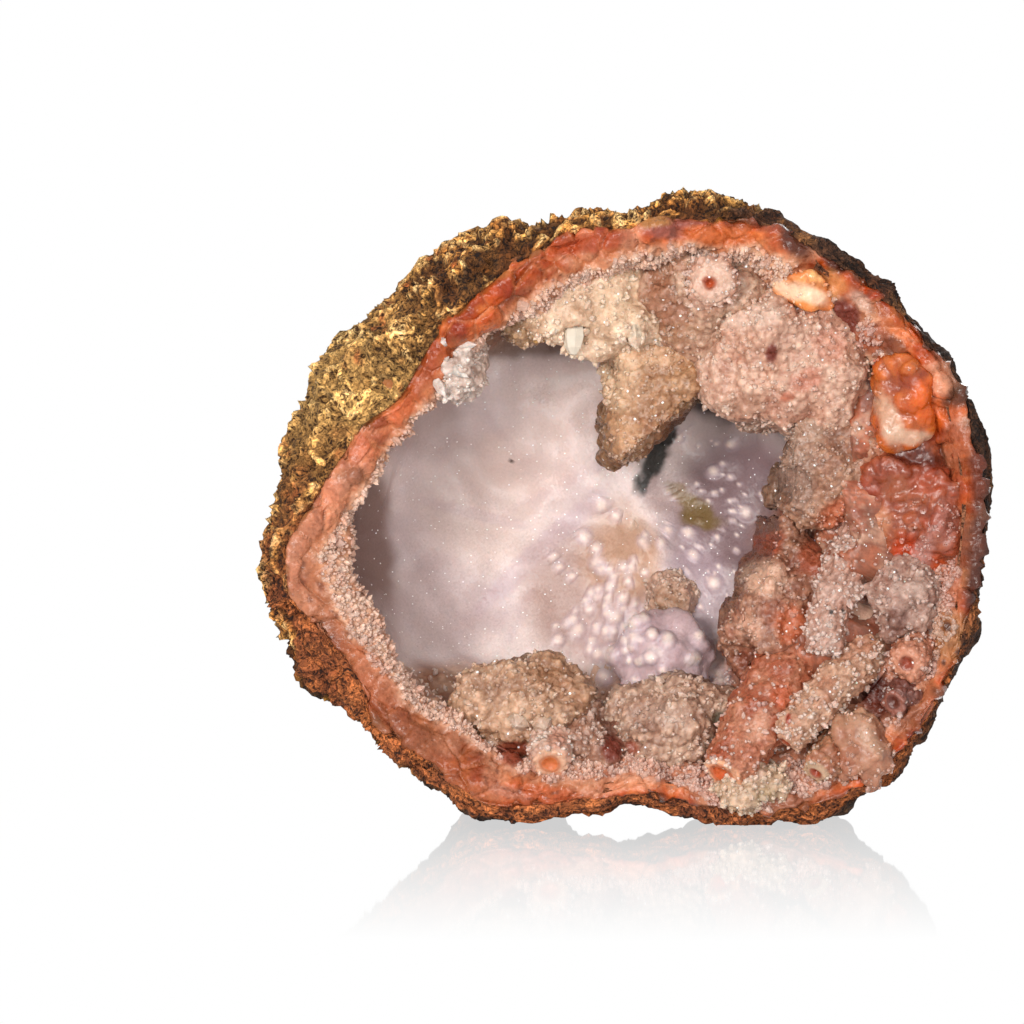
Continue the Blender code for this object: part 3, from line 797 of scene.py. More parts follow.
def carnelian_colours(points, d, first, second, tag, inside):
    """Orange chips, paler along the quartz and browner at the lower left."""
    carnelian = two_tone(points, rgb(176, 72, 22), rgb(128, 40, 14), 5.0, 230)
    carnelian = mix(carnelian, rgb(206, 116, 60), ease(0.15, 0.6, fractal(points, 3.0, 3, 235)) * 0.7)
    carnelian = mix(carnelian, rgb(196, 122, 80), (1 - ease(0.02, 0.14, second - first)) * 0.4)
    carnelian = mix(carnelian, rgb(92, 30, 14), ease(0.15, 0.55, fractal(points, 5.0, 3, 238)) * 0.7)
    carnelian = mix(carnelian, rgb(222, 160, 128), bell(d, 186, 14) * 0.6)
    carnelian = mix(carnelian, rgb(214, 152, 120), ease(0.15, 0.5, fractal(points, 6.5, 2, 232)) * 0.6)
    carnelian = carnelian * (0.7 + 0.6 * tag)[..., None]
    pale_band = ease(-2.4, 0.3, inside + 0.8 * fractal(points, 1.5, 2, 239))
    carnelian = mix(carnelian, rgb(204, 134, 92), pale_band * 0.5)
    brown = two_tone(points, rgb(148, 82, 48), rgb(112, 56, 32), 4.0, 233)
    return mix(carnelian, brown, bell(d, 218, 26) * 0.75)


def quartz_colours(points, valley, tag):
    quartz = two_tone(points, rgb(214, 170, 142), rgb(184, 126, 94), 1.8, 240)
    # Painted shade: browner and darker in the valleys between the crystals.
    quartz = mix(quartz, rgb(150, 98, 76), valley * 0.5)
    return quartz * (0.86 + 0.3 * tag)[..., None]


def rim_colours(points, d, carnelian, quartz, white, outer_edge):
    """Carnelian and quartz together, with a dark skin at the outer edge, and patches and specks."""
    colours = mix(carnelian, quartz, white)
    lower_right = np.clip(bell(d, 300, 50) + bell(d, 350, 30), 0, 1)
    colours = mix(colours, two_tone(points, rgb(184, 118, 92), rgb(136, 66, 46), 2.6, 243),
                  white * lower_right * 0.75)
    left = np.maximum(bell(d, 150, 50), bell(d, 95, 15))
    skin = mix(np.broadcast_to(rgb(66, 42, 32), points.shape), rgb(150, 96, 52), left)
    colours = mix(colours, skin, (1 - outer_edge) * 0.9)
    colours = painted(colours, points, RIM_PATCHES)
    specks = ease(0.5, 0.62, soft_noise(points, 0.8, 248)) * ease(0, 0.4, soft_noise(points, 6, 249))
    return mix(colours, rgb(96, 50, 36), specks * 0.6)


def make_rim():
    """The broken rim: glossy carnelian outside, white quartz crystals inside."""
    points, normal, front = rim_rows()
    rows, columns = points.shape[:2]
    d = turns(columns, rows)
    radius = np.hypot(points[..., 0] - AXIS_X, points[..., 2] - AXIS_Z)
    ragged = 1.5 * fractal(points, 4.0, 3, 200) + 0.6 * fractal(points, 1.0, 2, 205)
    inside = np.clip(carnelian_in(d) - 1.3 * bell(d, 158, 14) - radius + ragged, -9, 9)
    white = ease(-0.4, 0.7, inside)

    first, second, tag = cells(points * np.array((1, 0.6, 1)), 4.6, 210)
    tilt = 0.55 * np.sin(tag * 40 + points[..., 0] * 0.7) * np.cos(tag * 23 + points[..., 2] * 0.6)
    chips = 1.3 * tilt + 1.1 * (tag - 0.5) - 0.45 * (1 - ease(0.02, 0.16, second - first))
    chips = chips + 0.22 * fractal(points, 1.6, 3, 215)
    small_first, small_second, small_tag = cells(points, 1.25, 220)
    sugar = 0.85 * np.minimum(small_second - small_first, 0.7) + 0.25 * (small_tag - 0.5)
    fine_first, fine_second, _ = cells(points, 0.7, 225)
    sugar = sugar + 0.22 * (fine_second - fine_first) + 0.9 * fractal(points, 3.4, 2, 228) + 0.25
    right_side = np.maximum(bell(d, 0, 24), bell(d, 360, 20))
    edge_gap = rim_outer(d) - radius + 1.2 * fractal(points, 2.2, 3, 229)
    outer_edge = ease(-0.5, 0.7 + 2.4 * right_side, edge_gap)
    height = blend(chips * 0.9, sugar, white) - 0.8 * (1 - outer_edge)
    fade = np.ones(rows)
    fade[:SEAM_ROWS], fade[front + 4:] = (0, 0.3, 0.7), (0.8, 0.5, 0.2, 0, 0, 0)
    points = points + normal * (height * fade[:, None])[..., None]

    carnelian = carnelian_colours(points, d, first, second, tag, inside)
    # The valleys between the quartz crystals, where painted shade goes.
    quartz = quartz_colours(points, 1 - ease(0.0, 0.2, small_second - small_first), small_tag)
    colours = rim_colours(points, d, carnelian, quartz, white, outer_edge)

    step = np.arange(columns)
    beside = (step + 1) % columns
    last = (rows - 1) * columns
    closing = np.stack([last + step, last + beside, beside, step], axis=1)
    flat, tints = points.reshape(-1, 3), colours.reshape(-1, 3)
    faces = facing_out(flat, [grid_faces(rows, columns), closing])
    row = np.repeat(np.arange(rows), columns)
    able = ((white > 0.85) & (colours.mean(axis=-1) > BRIGHT)).ravel() & (row > 8) & (row < front + 5)
    chosen = np.random.default_rng(5).choice(np.flatnonzero(able), RIM_CRYSTALS, replace=False)
    crystals = quartz_points(flat[chosen], normal.reshape(-1, 3)[chosen], 0.27, 0.5, 0.45, 6,
                             mix(tints[chosen], WHITE_QUARTZ, 0.18))
    flat, faces, tints, smooth = with_quartz(flat, faces, tints, [crystals])
    finish = stone("agate_rim", 0.3, facet=0.22, facet_size=0.45, grain=0.9, grain_bump=0.4, vary=0.16,
                   glow=0.2, shine=0.28)
    show("agate_rim", mesh_of("agate_rim", flat, faces, tints, smooth), finish, "rind_and_agate")


LINING_PATCHES = [
    # The first patch on this line is painted shade at the top of the hollow, under the fan.
    (-12, 70.5, 18, 2.8, 4, (120, 88, 72), 0.8), (-30, 58, 6, 8, 40, (158, 134, 128), 0.5),
    # The first patch below, at x -39, is the painted shadow of the rim that hangs over the left edge.
    (-39, 42, 4.6, 15, 10, (104, 66, 50), 0.8), (-9, 61, 10, 7, 10, (226, 204, 198), 0.85),
    (-20, 45, 12, 9, 20, (206, 184, 176), 0.6), (-27, 31, 10, 7, -30, (182, 160, 158), 0.6),
    (-13, 38.5, 15, 1.8, 44, (178, 152, 162), 0.42), (-7, 50, 11, 1.1, 28, (180, 156, 164), 0.36),
    (-15.5, 52, 9, 1, -52, (184, 162, 166), 0.34), (-22, 44, 11, 1, -14, (182, 160, 166), 0.3),
    (-14, 33, 9, 1, 66, (182, 158, 166), 0.3), (-6, 32, 11, 10, 0, (166, 134, 124), 0.85),
    (1, 26, 9, 6, 0, (190, 162, 158), 0.7), (0.5, 37.4, 5.4, 6.4, 0, (186, 144, 118), 0.85),
    (-14, 52, 9, 7, 0, (212, 188, 180), 0.6), (-1, 38, 6, 8, 0, (184, 148, 126), 0.65),
    (17, 46, 11, 14, 0, (116, 90, 94), 0.9), (11, 33, 6, 7, 0, (160, 138, 146), 0.8),
    (5.5, 47.5, 4.5, 3.5, 0, (160, 136, 134), 0.7),
]
LINING_SPOTS = [
    (12.3, 62.5, 5.8, 4.6, -10, (60, 36, 30), 0.95), (20.5, 59, 4.6, 1.8, -10, (70, 58, 60), 0.7),
    (11.9, 44, 4.2, 2.5, -15, (112, 88, 44), 0.9), (8.5, 47.2, 2.6, 1.4, -30, (124, 100, 62), 0.7),
    (3.9, 51.4, 1.9, 4.2, -28, (26, 30, 26), 0.95), (6.6, 56, 1.3, 2.2, -40, (26, 28, 24), 0.95),
    (13, 14.5, 2, 2, 0, (58, 58, 40), 0.9), (-17.2, 52.1, 0.34, 0.34, 0, (60, 40, 36), 0.95),
    (-40.2, 31.5, 0.3, 0.3, 0, (60, 40, 36), 0.9), (35.8, 18.2, 3.6, 4.4, 20, (66, 20, 11), 1),
    (37.2, 31, 3, 3.6, 0, (110, 70, 56), 0.85), (45.4, 54, 4.6, 2.8, -10, (98, 36, 22), 0.9),
    (31, 73.4, 2.6, 3.6, 10, (104, 40, 30), 0.95), (-17, 10.5, 2.6, 1.6, 0, (124, 48, 28), 0.9),
    (-2.6, 11, 2, 2, 0, (124, 46, 26), 0.9),
]
BED_GROWS_TO = np.array((13.0, -22.0, 45.0))  # the bed of druse grows towards this point
# Where the bed of druse opens into a dark hollow: x, z, radius, share of its height kept.
BED_HOLLOWS = [(35.8, 18.0, 3.6, 0.1), (37.0, 31.0, 3.4, 0.3), (46.0, 53.5, 4.0, 0.3), (31.5, 73.0, 3.0, 0.2)]
# Rounded chalcedony bumps with white middles: x, z, radius.
BUMPS = [
    (5.9, 26, 1.3), (10.4, 26.4, 1.1), (3.4, 23.6, 1.1), (13.3, 50.5, 1.1), (18.1, 44.5, 1.3),
    (15.9, 54.8, 1), (8.1, 55.7, 0.9), (-3.6, 45.6, 1.3), (2.7, 40.2, 1), (5.4, 39.9, 0.9), (9.4, 41.4, 1.1),
    (13.2, 34, 1.4), (13.7, 20.2, 1.4), (-4.3, 36.9, 1.2), (-1.7, 28.9, 1.5), (-2.6, 23.4, 1.5),
    (-7.2, 26.8, 1.4), (1.2, 28.9, 1.4), (9.8, 23.4, 1.2), (8.7, 19.2, 1.2), (10.1, 38.2, 1),
    (6.4, 41.8, 0.9), (-6.4, 41, 1.1),
]


def bump_places():
    """The placed bumps and two scattered groups of smaller ones."""
    draw = np.random.default_rng(11)
    more = [(x, z, r) for x, z, r in zip(draw.normal(-2, 4.6, 70), draw.normal(28, 6.2, 70),
                                         draw.uniform(0.5, 1.1, 70))]
    more += [(x, z, r) for x, z, r in zip(draw.normal(13, 4.4, 60), draw.normal(45, 8, 60),
                                          draw.uniform(0.25, 0.6, 60))]
    return np.array(BUMPS + more)


def add_bumps(points, colours, normal, reach=1.0):
    """Half-round bumps on the hollow's wall, white in the middle."""
    lift = np.zeros(points.shape[:-1])
    for x, z, radius in bump_places():
        far = np.hypot(points[..., 0] - x, points[..., 2] - z) / radius
        near = far < 1.6
        dome = np.sqrt(np.clip(1 - (far[near] / 1.05) ** 2, 0, 1))
        lift[near] = np.maximum(lift[near], 0.55 * radius * dome)
        colours[near] = mix(colours[near], rgb(196, 176, 184), 0.45 * (1 - ease(0.7, 1.6, far[near])))
        colours[near] = mix(colours[near], rgb(240, 220, 208), 0.78 * (1 - ease(0.1, 1.0, far[near])))
    return points + normal * (lift * reach)[..., None], colours


def lining_areas(points, depth):
    """How far past the satin bowl's right end each place is, and how much druse each side grows over it."""
    beyond = points[..., 0] - 16.5 - 0.36 * (points[..., 2] - 30) + 3 * soft_noise(points, 6.0, 301)
    near_lip = 1 - ease(0.4, 0.75, depth + 0.12 * fractal(points, 4.0, 2, 300))
    low = 1 - ease(14, 20.5, points[..., 2] + 3 * soft_noise(points, 5.0, 302) + 0.1 * points[..., 0])
    top = ease(66, 73, points[..., 2] + 3 * soft_noise(points, 5.0, 303)) * ease(-34, -20, points[..., 0])
    return beyond, near_lip, ease(-2, 4, beyond), low, top


def bed_height(points, beyond, near_lip, low):
    """How far the bed of druse grows into the hollow."""
    bed = (5.5 * ease(1, 11, beyond) + 2.0 * low) * (1 - near_lip) * (1 + 0.8 * fractal(points, 7.0, 3, 318))
    for x, z, radius, keep in BED_HOLLOWS:
        hollow = np.hypot(points[..., 0] - x, points[..., 2] - z) / radius
        bed = bed * blend(keep, 1, ease(0.7, 1.3, hollow))
    return bed


def lining_colours(points, degrees, depth, druse, right, valley):
    """Pale satin chalcedony with painted shadow near the lip under the rim that hangs over it, and druse over
    it with painted shade between its crystals.
    """
    colours = two_tone(points, rgb(218, 200, 196), rgb(204, 186, 186), 10.0, 320)
    colours = painted(colours, points, LINING_PATCHES, 0.3)
    # Painted shadow: the wall darkened near the lip on the left and top, under the rim that hangs over it.
    painted_overhang_shadow = (1 - ease(0.7, 1.75, depth)) * ease(88, 112, degrees) * (1 - ease(205, 240, degrees))
    colours = mix(colours, colours * np.array((0.42, 0.33, 0.3)), painted_overhang_shadow * 0.9)
    sugar = two_tone(points, rgb(190, 150, 124), rgb(146, 100, 76), 2.4, 325)
    sugar = mix(sugar, two_tone(points, rgb(176, 96, 66), rgb(112, 46, 28), 3.5, 327), right * 0.8)
    sugar = mix(sugar, rgb(206, 166, 142), ease(0.2, 0.6, fractal(points, 2.2, 3, 329)) * 0.6)
    # Painted shade: the druse darker in the valleys between its crystals.
    sugar = mix(sugar, rgb(112, 74, 60), valley * 0.5)
    return mix(colours, sugar, np.clip(druse * 1.1, 0, 1))


def make_lining():
    """The hollow's wall: satin chalcedony on the left, bumps and dark specks on the right."""
    rows, backing = 130, 10
    degrees = turns(LINING_COLUMNS, rows)
    depth = np.broadcast_to(np.linspace(2.99, 0.3, rows)[:, None], degrees.shape)
    points = hollow_points(degrees, depth)
    points = cad_lumps(points, grid_normals(points))
    normal = grid_normals(points)
    if normal[30, :, 1].mean() > 0:
        normal = -normal
    middle = normal[6:12].mean(axis=(0, 1))
    normal = blend(middle, normal, ease(0, 9, np.arange(rows))[:, None, None])

    beyond, near_lip, right, low, top = lining_areas(points, depth)
    druse = np.clip(np.maximum.reduce([near_lip, right, low, top]), 0, 1)
    first, second, tag = cells(points, 1.2, 310)
    sugar = 0.6 * np.minimum(second - first, 0.7) + 0.2 * (tag - 0.5) + 1.1 * fractal(points, 3.6, 3, 312)
    satin = 0.5 * fractal(points, 9.0, 2, 315) + 0.035 * fractal(points, 0.9, 2, 317)
    bed = bed_height(points, beyond, near_lip, low)
    swelling = np.hypot((points[..., 0] - 1.5) / 6.0, (points[..., 2] - 37.0) / 6.6)
    satin = satin + 1.8 * (1 - ease(0.2, 1.15, swelling + 0.25 * fractal(points, 3.0, 3, 319)))
    forward = BED_GROWS_TO - points
    forward /= np.linalg.norm(forward, axis=-1, keepdims=True)
    points = points + forward * bed[..., None] + normal * blend(satin, sugar, druse)[..., None]

    # The valleys between the druse crystals, where painted shade goes.
    colours = lining_colours(points, degrees, depth, druse, right, 1 - ease(0, 0.2, second - first))
    points, colours = add_bumps(points, colours, normal, 1 - druse)
    colours = painted(colours, points, LINING_SPOTS, 0.85)
    every = rows // backing
    behind = (points[::every] - normal[::every] * 1.2)[::-1]
    flat, faces, tints = closed_piece(points, colours, behind, rgb(190, 150, 130), behind[-1].mean(axis=0))
    able = np.flatnonzero((druse.ravel() > 0.7) & (colours.mean(axis=-1).ravel() > BRIGHT))
    chosen = np.random.default_rng(7).choice(able, LINING_CRYSTALS, replace=False)
    crystals = quartz_points(flat[chosen], normal.reshape(-1, 3)[chosen], 0.22, 0.4, 0.45, 8,
                             mix(tints[chosen], WHITE_QUARTZ, 0.3))
    flat, faces, tints, smooth = with_quartz(flat, faces, tints, [crystals])
    finish = stone("chalcedony", 0.42, facet=0.1, facet_size=0.3, grain=0.35, grain_bump=0.2, vary=0.05,
                   glow=0.4, sparkle=0.02)
    show("hollow_lining", mesh_of("hollow_lining", flat, faces, tints, smooth), finish, "rind_and_agate")


# ---- the growths in the hollow ----

FINISHES = {
    "sugar": stone("sugary_druse", 0.36, facet=0.3, facet_size=0.5, grain=0.8, grain_bump=0.5, vary=0.12,
                   glow=0.4, sparkle=0.01),
    "glossy": stone("glossy_carnelian", 0.28, facet=0.1, facet_size=0.9, grain=1.2, grain_bump=0.35,
                    vary=0.12, glow=0.45),
    "satin": stone("satin_chalcedony", 0.38, facet=0.1, facet_size=0.35, grain=0.5, grain_bump=0.2,
                   vary=0.06, glow=0.45, sparkle=0.008),
}
# name: slot, finish, main colour, second colour, crevice colour (painted shade), lumps (size, height),
#       crystals (size, height), quartz points (count, width, length)
GROWTHS = {
    "quartz_fan": (
        "beige_druse", "sugar", (226, 196, 170), (212, 180, 152), (170, 130, 100), (6, 0.9), (3, 0.6),
        (250, 0.32, 0.55),
    ),
    "druse_lump_brown": (
        "brown_druse", "sugar", (186, 148, 112), (150, 112, 82), (96, 64, 46), (3, 0.9), (1.2, 0.6),
        (100, 0.21, 0.36),
    ),
    "druse_tongue": (
        "white_druse", "sugar", (218, 200, 190), (192, 166, 152), (140, 108, 94), (3, 1.1), (1.5, 0.9),
        (130, 0.29, 0.48),
    ),
    "druse_crown": (
        "pink_druse", "sugar", (189, 155, 132), (170, 124, 100), (136, 83, 61), (4.4, 1.3), (1.3, 0.6),
        (250, 0.23, 0.39),
    ),
    "druse_curtain": (
        "beige_druse", "sugar", (177, 135, 101), (156, 110, 78), (99, 58, 35), (5.5, 1.9), (1.4, 0.7),
        (420, 0.23, 0.39),
    ),
    "stalactite_mass_pink": (
        "pink_druse", "sugar", (206, 169, 148), (186, 138, 115), (143, 86, 66), (5, 1.6), (1.4, 0.6),
        (420, 0.23, 0.39),
    ),
    "carnelian_chunk": (
        "light_carnelian", "glossy", (235, 157, 90), (221, 129, 68), (166, 78, 41), (4, 0.7), (3, 0.7),
        (20, 0.19, 0.32),
    ),
    "carnelian_lobe": (
        "orange_carnelian", "glossy", (196, 103, 40), (174, 77, 33), (117, 43, 23), (4, 1.1), (3.2, 0.6),
        (20, 0.19, 0.32),
    ),
    "druse_slope": (
        "brown_druse", "sugar", (173, 132, 107), (148, 102, 80), (93, 56, 40), (5, 1.8), (1.2, 0.6),
        (420, 0.19, 0.32),
    ),
    "salmon_shelf": (
        "salmon_agate", "glossy", (160, 86, 56), (140, 56, 30), (84, 28, 15), (4, 1.6), (1.8, 0.6),
        (180, 0.19, 0.32),
    ),
    "druse_knob": (
        "brown_druse", "sugar", (216, 182, 162), (200, 162, 142), (164, 124, 104), (4, 1), (1.3, 0.4),
        (230, 0.21, 0.36),
    ),
    "quartz_flange": (
        "white_druse", "sugar", (178, 146, 132), (161, 124, 110), (121, 73, 58), (3.4, 1.5), (1.6, 0.8),
        (100, 0.29, 0.48),
    ),
    "salmon_cluster": (
        "salmon_druse", "sugar", (158, 112, 89), (142, 80, 58), (87, 37, 25), (4.6, 1.9), (1.4, 0.6),
        (250, 0.21, 0.36),
    ),
    "quartz_shell_fan": (
        "pink_druse", "satin", (175, 130, 104), (156, 102, 77), (105, 53, 35), (3.4, 1.2), (2.4, 0.7),
        (70, 0.23, 0.39),
    ),
    "druse_foot": (
        "beige_druse", "sugar", (201, 169, 143), (171, 139, 111), (120, 89, 64), (3, 1.2), (1.3, 0.8),
        (190, 0.29, 0.48),
    ),
    "druse_fan_bottom": (
        "beige_druse", "sugar", (189, 151, 124), (164, 122, 93), (105, 65, 45), (5, 1.7), (1.5, 0.8),
        (310, 0.24, 0.42),
    ),
    "druse_lump_bottom": (
        "beige_druse", "sugar", (165, 125, 105), (145, 102, 82), (98, 53, 36), (3.4, 1.2), (1.4, 0.7),
        (140, 0.26, 0.45),
    ),
    "druse_bed_bottom": (
        "beige_druse", "sugar", (192, 158, 136), (168, 129, 108), (100, 59, 44), (4.4, 1.7), (1.4, 0.7),
        (280, 0.24, 0.42),
    ),
    "chalcedony_lobe": (
        "lilac_chalcedony", "satin", (194, 168, 170), (176, 148, 152), (140, 112, 112), (3.6, 1), (2.6, 0.15),
        (20, 0.15, 0.26),
    ),
}
GROWTH_PATCHES = {
    "quartz_fan": [
        (-14.5, 74, 3, 2.4, 0, (173, 131, 98), 0.6), (-2, 77, 4, 5, -10, (218, 186, 155), 0.5),
        (-10, 80.5, 6, 1.6, 10, (222, 193, 185), 0.7),
    ],
    "druse_lump_brown": [(-12.4, 70.4, 1.6, 1.2, 0, (196, 146, 78), 0.8)],
    "druse_crown": [
        (4.4, 76, 2.6, 5, 0, (142, 89, 62), 0.75), (14, 82.6, 7, 1.6, -4, (193, 165, 147), 0.7),
        (7, 71.5, 4, 2, 0, (150, 105, 74), 0.5),
    ],
    "druse_curtain": [
        (-1.4, 66, 3.4, 6, 0, (216, 180, 148), 0.8), (5, 69, 5, 2.6, 0, (208, 168, 136), 0.7),
        (-0.6, 57, 2.6, 2.6, 0, (196, 152, 118), 0.7), (8, 56.5, 6, 3.4, 10, (124, 82, 56), 0.75),
        (2.5, 62.5, 3.6, 4, 0, (169, 129, 101), 0.5), (10, 68, 3.6, 3.6, 0, (166, 120, 83), 0.5),
        (9.4, 53.2, 3, 1.6, 30, (75, 45, 30), 0.8),
    ],
    "stalactite_mass_pink": [
        (20.4, 68.6, 0.9, 1.4, -15, (106, 41, 25), 1), (25.6, 64.6, 2.6, 1.8, 20, (177, 106, 83), 0.7),
        (22.8, 62.2, 1.2, 0.8, 20, (181, 101, 74), 0.7), (29, 70, 3, 3, 0, (185, 122, 100), 0.6),
        (18, 74, 5, 2.2, 0, (210, 180, 163), 0.6), (17, 61, 3, 1.6, 0, (172, 130, 109), 0.6),
    ],
    "carnelian_chunk": [
        (24.5, 77.4, 5, 1.4, -16, (239, 207, 177), 0.85), (27.5, 80.6, 2.2, 1.6, 0, (243, 183, 120), 0.8),
        (30.5, 80.5, 1.4, 1.4, 0, (210, 110, 54), 0.6),
    ],
    "carnelian_lobe": [
        (37.6, 59, 1.6, 5, 20, (199, 158, 132), 0.85), (42.8, 61.4, 2.6, 3.4, -20, (203, 89, 22), 0.85),
        (41, 56.4, 4.6, 1.2, -8, (196, 161, 137), 0.8), (40.4, 67.6, 2.6, 2, 0, (187, 98, 48), 0.6),
    ],
    "druse_slope": [
        (39, 50, 3.6, 2.4, 0, (138, 62, 34), 0.8), (30, 62, 5, 1.8, 0, (120, 80, 62), 0.6),
        (32, 45.5, 5, 3, 20, (184, 98, 64), 0.8), (37, 52, 3.6, 4, 0, (180, 114, 85), 0.6),
        (26, 58, 4, 3, 0, (169, 139, 120), 0.5), (35.5, 61, 2.4, 3, 0, (186, 146, 129), 0.6),
        (24.5, 51, 2.6, 6, 10, (151, 123, 109), 0.6), (34, 57.5, 0.8, 0.8, 0, (80, 51, 38), 0.7),
    ],
    "salmon_shelf": [
        (39.8, 50.4, 4, 2.6, 0, (128, 52, 26), 0.85), (40, 38.6, 2.2, 3.4, 0, (183, 64, 24), 0.85),
        (44.8, 37.2, 1.5, 2.2, 0, (182, 73, 29), 0.8), (42.6, 39.5, 1.6, 4, -20, (172, 120, 110), 0.75),
        (46, 44, 2, 4, 0, (163, 100, 86), 0.6), (41.5, 53.6, 5, 1.6, -14, (75, 24, 14), 0.85),
        (38.5, 49, 2.6, 2.6, 0, (150, 82, 52), 0.7), (36, 44, 2.2, 3, 0, (188, 128, 95), 0.7),
        (43.5, 49.5, 2.6, 1.8, 0, (163, 73, 41), 0.6),
    ],
    "druse_knob": [
        (6.4, 31.4, 2.6, 2.6, -10, (150, 112, 86), 0.8), (0.5, 39, 4, 4, 0, (226, 192, 168), 0.8),
        (-0.5, 32, 2.4, 3, 0, (222, 196, 184), 0.7), (7.4, 29.4, 1.2, 0.8, 0, (110, 80, 56), 0.7),
    ],
    "quartz_flange": [
        (38.6, 29.6, 1.6, 2.6, 0, (89, 41, 30), 0.6), (40.4, 34.4, 3, 1.6, 0, (182, 153, 140), 0.7),
    ],
    "salmon_cluster": [
        (19.5, 35.5, 3.6, 2.6, 10, (206, 164, 140), 0.8), (17.4, 28.6, 2.4, 2.2, 0, (200, 152, 128), 0.75),
        (23.4, 29, 2.6, 3.6, 0, (186, 98, 62), 0.75), (20.5, 40.5, 2.4, 1.4, 30, (180, 84, 54), 0.7),
        (26.5, 38.5, 2.2, 2.6, 0, (150, 74, 46), 0.7), (17.2, 27, 0.7, 0.7, 0, (96, 60, 44), 0.8),
        (22, 24, 3, 1.6, 20, (198, 150, 126), 0.6),
    ],
    "quartz_shell_fan": [
        (34.6, 12.6, 1.2, 3, 30, (181, 145, 121), 0.6), (31.6, 8.4, 1, 2.4, 30, (144, 80, 57), 0.5),
    ],
    "druse_foot": [(17, 7.6, 2.6, 1, 0, (206, 172, 155), 0.6), (20, 4.4, 1.6, 1.4, 0, (155, 130, 94), 0.5)],
    "druse_fan_bottom": [
        (-16, 15.6, 4.6, 2.6, 16, (196, 158, 131), 0.7), (-11.4, 21.6, 3, 1.6, 0, (157, 112, 81), 0.6),
        (-16.8, 10.6, 2.8, 1.5, 0, (123, 51, 31), 0.9), (-9, 19, 2, 2, 0, (155, 107, 76), 0.5),
    ],
    "druse_lump_bottom": [(-2.6, 11, 2, 2.2, 0, (107, 38, 22), 0.95)],
    "druse_bed_bottom": [
        (0.4, 11, 1.4, 1.4, 0, (137, 61, 40), 0.8), (11, 7, 1, 0.7, 0, (109, 43, 30), 0.8),
        (5, 16, 4, 2, 0, (174, 142, 127), 0.5), (13.4, 15, 1.6, 1.6, 0, (63, 58, 40), 0.85),
    ],
    "chalcedony_lobe": [
        (6, 20.6, 1.1, 1.1, 0, (240, 222, 208), 0.7), (11, 19.4, 1, 1, 0, (236, 216, 202), 0.6),
        (4, 24.4, 1.2, 1, 0, (226, 212, 206), 0.5), (9.2, 23, 1.2, 1, 0, (226, 212, 204), 0.5),
        (8.4, 18.6, 1.2, 1, 0, (226, 212, 204), 0.5), (3, 19, 1, 1, 0, (226, 212, 206), 0.4),
    ],
}

# Larger single crystals on a growth: place, way it points, half width, length.
BLADES = {
    "quartz_fan": [
        (0.6, 5.4, 71.5, 0.1, -0.1, -1, 1.3, 2.8), (-10.8, 4.2, 72.6, -0.1, -0.4, -1, 0.7, 1.8),
        (-12.8, 4.4, 74, -0.3, -0.5, -0.8, 0.6, 1.6),
    ],
    "druse_tongue": [
        (-24.4, 2.6, 69.6, 0.9, -0.6, 0.1, 0.9, 2.2), (-25.4, 2.4, 66.4, 0.8, -0.6, -0.5, 1, 2.4),
        (-27.6, 2.2, 63.8, 0.5, -0.7, -0.8, 0.8, 1.8), (-26.8, 2, 70, 0.1, -1, 0.4, 0.8, 1.6),
    ],
    "druse_fan_bottom": [
        (-16, 4.4, 15.4, -0.3, -0.8, -0.6, 2, 2.2), (-12.8, 4.2, 15, 0.4, -0.8, -0.6, 1.8, 2.2),
    ],
}

# How far a growth's foot spreads and how uneven it is, where it isn't as on the others, mm.
SPREADS = {
    "quartz_fan": (0.6, 0.8),
    "druse_lump_brown": (0.5, 0.8),
    "druse_tongue": (0.4, 0.8),
    "druse_curtain": (0.2, 1.6),
    "druse_knob": (0, 1.6),
    "druse_crown": (1.6, 1.6),
    "stalactite_mass_pink": (0.8, 1.8),
    "carnelian_chunk": (0.4, 0.8),
    "carnelian_lobe": (0.3, 0.9),
    "druse_slope": (1.2, 2.2),
    "salmon_cluster": (0.4, 2),
    "druse_foot": (0.4, 0.9),
    "druse_fan_bottom": (0.5, 1.4),
    "chalcedony_lobe": (0.6, 0.8),
    "quartz_shell_fan": (0.4, 1),
    "quartz_flange": (1.2, 1.6),
}
# Where a growth is set back so that what is behind it shows: x, z, radius, depth.
PRESSED = {
    "salmon_cluster": [(13.5, 39.5, 7, 14), (17, 42, 5, 12)],
    "druse_slope": [(20, 49, 4, 8)],
    "druse_curtain": [(14.5, 54, 4.5, 10), (-4, 56, 2.5, 6)],
    "chalcedony_lobe": [(6, 21, 9, 1.5)],
    "druse_knob": [(7, 32, 9, 5)],
}
# Lines that a growth stays to the left of, seen from the front: x, z, to x, to z.
EDGES = {
    "druse_curtain": [(2, 55.6, 13, 66.2), (-2.6, 70, -3.6, 53)],
    "druse_slope": [(26, 60, 15.5, 30)],
    "salmon_cluster": [(26, 60, 15.5, 30)],
    "chalcedony_lobe": [(4, 12, 15, 20)],
}
# Growths drawn in towards a point where the wall's own swelling shows instead: x, z, share kept.
SHRUNK = {"druse_knob": (11.0, 26.2, 0.58), "druse_lump_brown": (-12.0, 74.0, 0.85)}


def kept_inside(points, lines):
    """What lies beyond each line squeezed against it."""
    for x, z, to_x, to_z in lines:
        away = np.array((z - to_z, to_x - x)) / math.hypot(to_x - x, to_z - z)
        beyond = (points[:, 0] - x) * away[0] + (points[:, 2] - z) * away[1]
        beyond = np.minimum(beyond + 1.1 * soft_noise(points, 3.0, 400), 0) * 0.88
        points[:, 0] -= beyond * away[0]
        points[:, 2] -= beyond * away[1]
    return points


USUAL_SPREAD = (2.2, 2.2)
BUMPY = ("chalcedony_lobe",)
# Painted shade towards each growth's foot, where it meets the wall.
PAINTED_FOOT_SHADE = 0.42     # how much of its colour a growth loses towards its foot
DEEPEST = 36.0  # nothing is set back further than this


